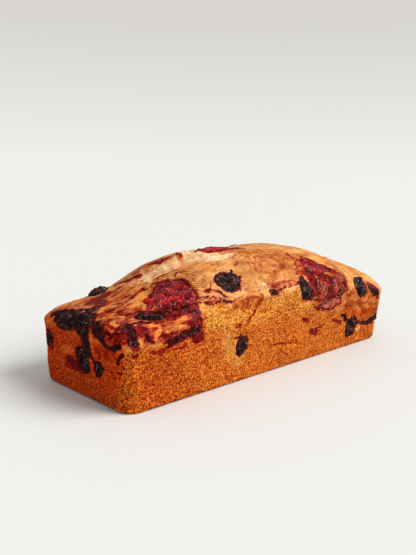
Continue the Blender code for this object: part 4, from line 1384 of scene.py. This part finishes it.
# Grey of the bloom, which also stands in for sheen highlights: partly bloom, partly painted sheen.
BERRY_BLOOM_AND_SHEEN = (0.22, 0.15, 0.14)
BERRY_PUCKER = 0.0005
BERRY_COAT = 0.08
BERRY_COAT_ROUGHNESS = 0.12
BERRY_ROUGHNESS = 0.5


def burst_blueberry():
    """Nearly black skin with purple patches, grey patches that are partly bloom and partly
    painted sheen, and a faint shine of dried juice.
    """
    mix = Recipe("burst_blueberry")
    patch = mix.noise(0.0030, 4.0, 0.6)
    colour = mix.blend(mix.ramp(patch, 0.44, 0.66), BERRY_BLACK, BERRY_PURPLE)
    bloom_and_sheen = mix.times(mix.ramp(mix.noise(0.0050, 2.0), 0.50, 0.62),
                      mix.ramp(mix.noise(0.0011, 3.0), 0.50, 0.62, 0.0, 0.8))
    colour = mix.blend(bloom_and_sheen, colour, BERRY_BLOOM_AND_SHEEN)
    mix.bump(mix.noise(0.0012, 3.0), BERRY_PUCKER, 0.8)
    mix.shader.inputs["Specular IOR Level"].default_value = 0.0
    mix.shader.inputs["Coat Weight"].default_value = BERRY_COAT
    mix.shader.inputs["Coat Roughness"].default_value = BERRY_COAT_ROUGHNESS
    return mix.finish(colour, BERRY_ROUGHNESS)


# Wrinkles and dents in metres, and the crown: its five points, how high and how far from
# the pole they stand in radians, and how deep the hollow inside them is.
WRINKLES = 9
WRINKLE_DEPTH = 0.00022
DENT_DEPTH = 0.0005
CROWN_POINTS = 5
CROWN_HEIGHT = 0.0005
CROWN_AT = 0.50
CROWN_WIDTH = 0.14
HOLLOW_DEPTH = 0.0009
HOLLOW_EDGE = 0.46
HOLLOW_OVER = 0.22

blueberry_material = burst_blueberry()
for number, entry in enumerate(BLUEBERRIES):
    def wrinkled(polar, turn, across, seed=100 + 7 * number):
        """Wrinkles that run from the crown, dents where the flesh shrank, and the sunken
        crown inside a ring of five low points."""
        bent = WRINKLES * turn + 3 * cloud(across, 0.004, seed)
        folds = WRINKLE_DEPTH * np.cos(bent) * np.sin(polar) ** 2
        dents = DENT_DEPTH * rough_cloud(across, 0.0045, seed + 3)
        ring = np.exp(-((polar - CROWN_AT) / CROWN_WIDTH) ** 2)
        points = CROWN_HEIGHT * (0.5 + 0.5 * np.cos(CROWN_POINTS * turn)) * ring
        hollow = HOLLOW_DEPTH * smooth_step((HOLLOW_EDGE - polar) / HOLLOW_OVER)
        return folds + dents + points - hollow

    berry = add_fruit(entry, BERRY_CELLS, blueberry_outline, PHASE_STEP * number, wrinkled)
    berry.data.materials.append(blueberry_material)

# ---- Strawberry pieces -----------------------------------------------------------------
# Slices of strawberry, cooked soft: lumpy, dripping with syrup, dark at their edges.  They
# lay on the batter and sank into it as it rose, and the crust set round them.
STRAWBERRY_CELLS = (104, 56)    # round a piece, and from pole to pole
# colours of the flesh: light, dark, towards its far end, and along its veins
CRIMSON = ((0.52, 0.020, 0.024), (0.10, 0.002, 0.004), (0.30, 0.010, 0.015), (0.05, 0.002, 0.003))
SYRUPY = ((0.40, 0.045, 0.014), (0.07, 0.002, 0.002), (0.48, 0.085, 0.036), (0.03, 0.002, 0.002))
# Pale specks on the pulp: partly seeds, partly painted glints that stand in for highlights.
PALE_SEEDS_AND_GLINTS = (0.55, 0.26, 0.25)
SEEDS_AND_GLINTS_SHOW = 0.65
PULP_DEPTH = 0.0007
PULP_COAT = 0.14
PULP_COAT_ROUGHNESS = 0.12
PULP_ROUGHNESS = 0.4
PULP_TRANSLUCENCY = 0.06
PULP_LIGHT_REACH = (0.003, 0.0006, 0.0004)


def cooked_strawberry(name, light, dark, far_end, vein):
    """Cooked pulp that takes another tone towards its far end and darkens in patches and along
    veins, with pale specks that are partly seeds and partly painted glints, and a wet shine."""
    mix = Recipe(name)
    pulp = mix.noise(0.0042, 6.0, 0.72)
    colour = mix.blend(mix.stored("far_end"), light, far_end)
    colour = mix.blend(mix.ramp(pulp, 0.46, 0.56), colour, dark)
    gap = mix.math("ABSOLUTE", mix.math("SUBTRACT", mix.noise(0.0030, 2.0, 0.6), 0.5), 0.0)
    colour = mix.blend(mix.ramp(gap, 0.040, 0.008, 0.0, 0.8), colour, vein)
    # Pale specks, partly seeds and partly painted glints that stand in for highlights.
    glint = mix.times(mix.ramp(mix.noise(0.0010, 2.0), 0.56, 0.64, 0.0, SEEDS_AND_GLINTS_SHOW),
                      mix.ramp(mix.noise(0.0055, 3.0), 0.44, 0.58))
    colour = mix.blend(glint, colour, PALE_SEEDS_AND_GLINTS)
    mix.bump(mix.noise(0.0013, 3.0), PULP_DEPTH)
    mix.shader.inputs["Specular IOR Level"].default_value = 0.0
    mix.shader.inputs["Coat Weight"].default_value = PULP_COAT
    mix.shader.inputs["Coat Roughness"].default_value = PULP_COAT_ROUGHNESS
    mix.shader.inputs["Subsurface Weight"].default_value = PULP_TRANSLUCENCY
    mix.shader.inputs["Subsurface Radius"].default_value = PULP_LIGHT_REACH
    mix.shader.inputs["Subsurface Scale"].default_value = 1.0
    return mix.finish(colour, PULP_ROUGHNESS)


# Lumps of the pulp in metres, and where its far end's tone begins: below a height on the
# syrupy pieces, and from a little left of the middle on the crimson ones.
LUMP_HEIGHT = 0.0006
FINE_LUMP_HEIGHT = 0.00025
FAR_END_HEIGHT = 0.046
FAR_END_OVER = 0.010
FAR_END_LEFT = 0.4

crimson_flesh = cooked_strawberry("crimson_flesh", *CRIMSON)
syrupy_flesh = cooked_strawberry("syrupy_flesh", *SYRUPY)
for number, entry in enumerate(STRAWBERRIES):
    def pulpy(polar, turn, across, seed=300 + 11 * number):
        """Lumps of pulp, coarse and fine."""
        return (LUMP_HEIGHT * rough_cloud(across, 0.0052, seed)
                + FINE_LUMP_HEIGHT * cloud(across, 0.0016, seed + 5))

    piece = add_fruit(entry, STRAWBERRY_CELLS, strawberry_outline, PHASE_STEP * number, pulpy)
    skin = np.zeros(len(piece.data.vertices) * 3, np.float32)
    piece.data.vertices.foreach_get("co", skin)
    shoulder_top = entry[0] == "strawberry_shoulder_top"
    syrupy = "shoulder" in entry[0] and not shoulder_top
    low = (FAR_END_HEIGHT - skin[2::3]) / FAR_END_OVER
    right = (skin[0::3] - entry[1][0] * MM) / FAR_END_OVER + FAR_END_LEFT + shoulder_top
    add_attribute(piece.data, "far_end", smooth_step(low if syrupy else right))
    piece.data.materials.append(syrupy_flesh if syrupy else crimson_flesh)
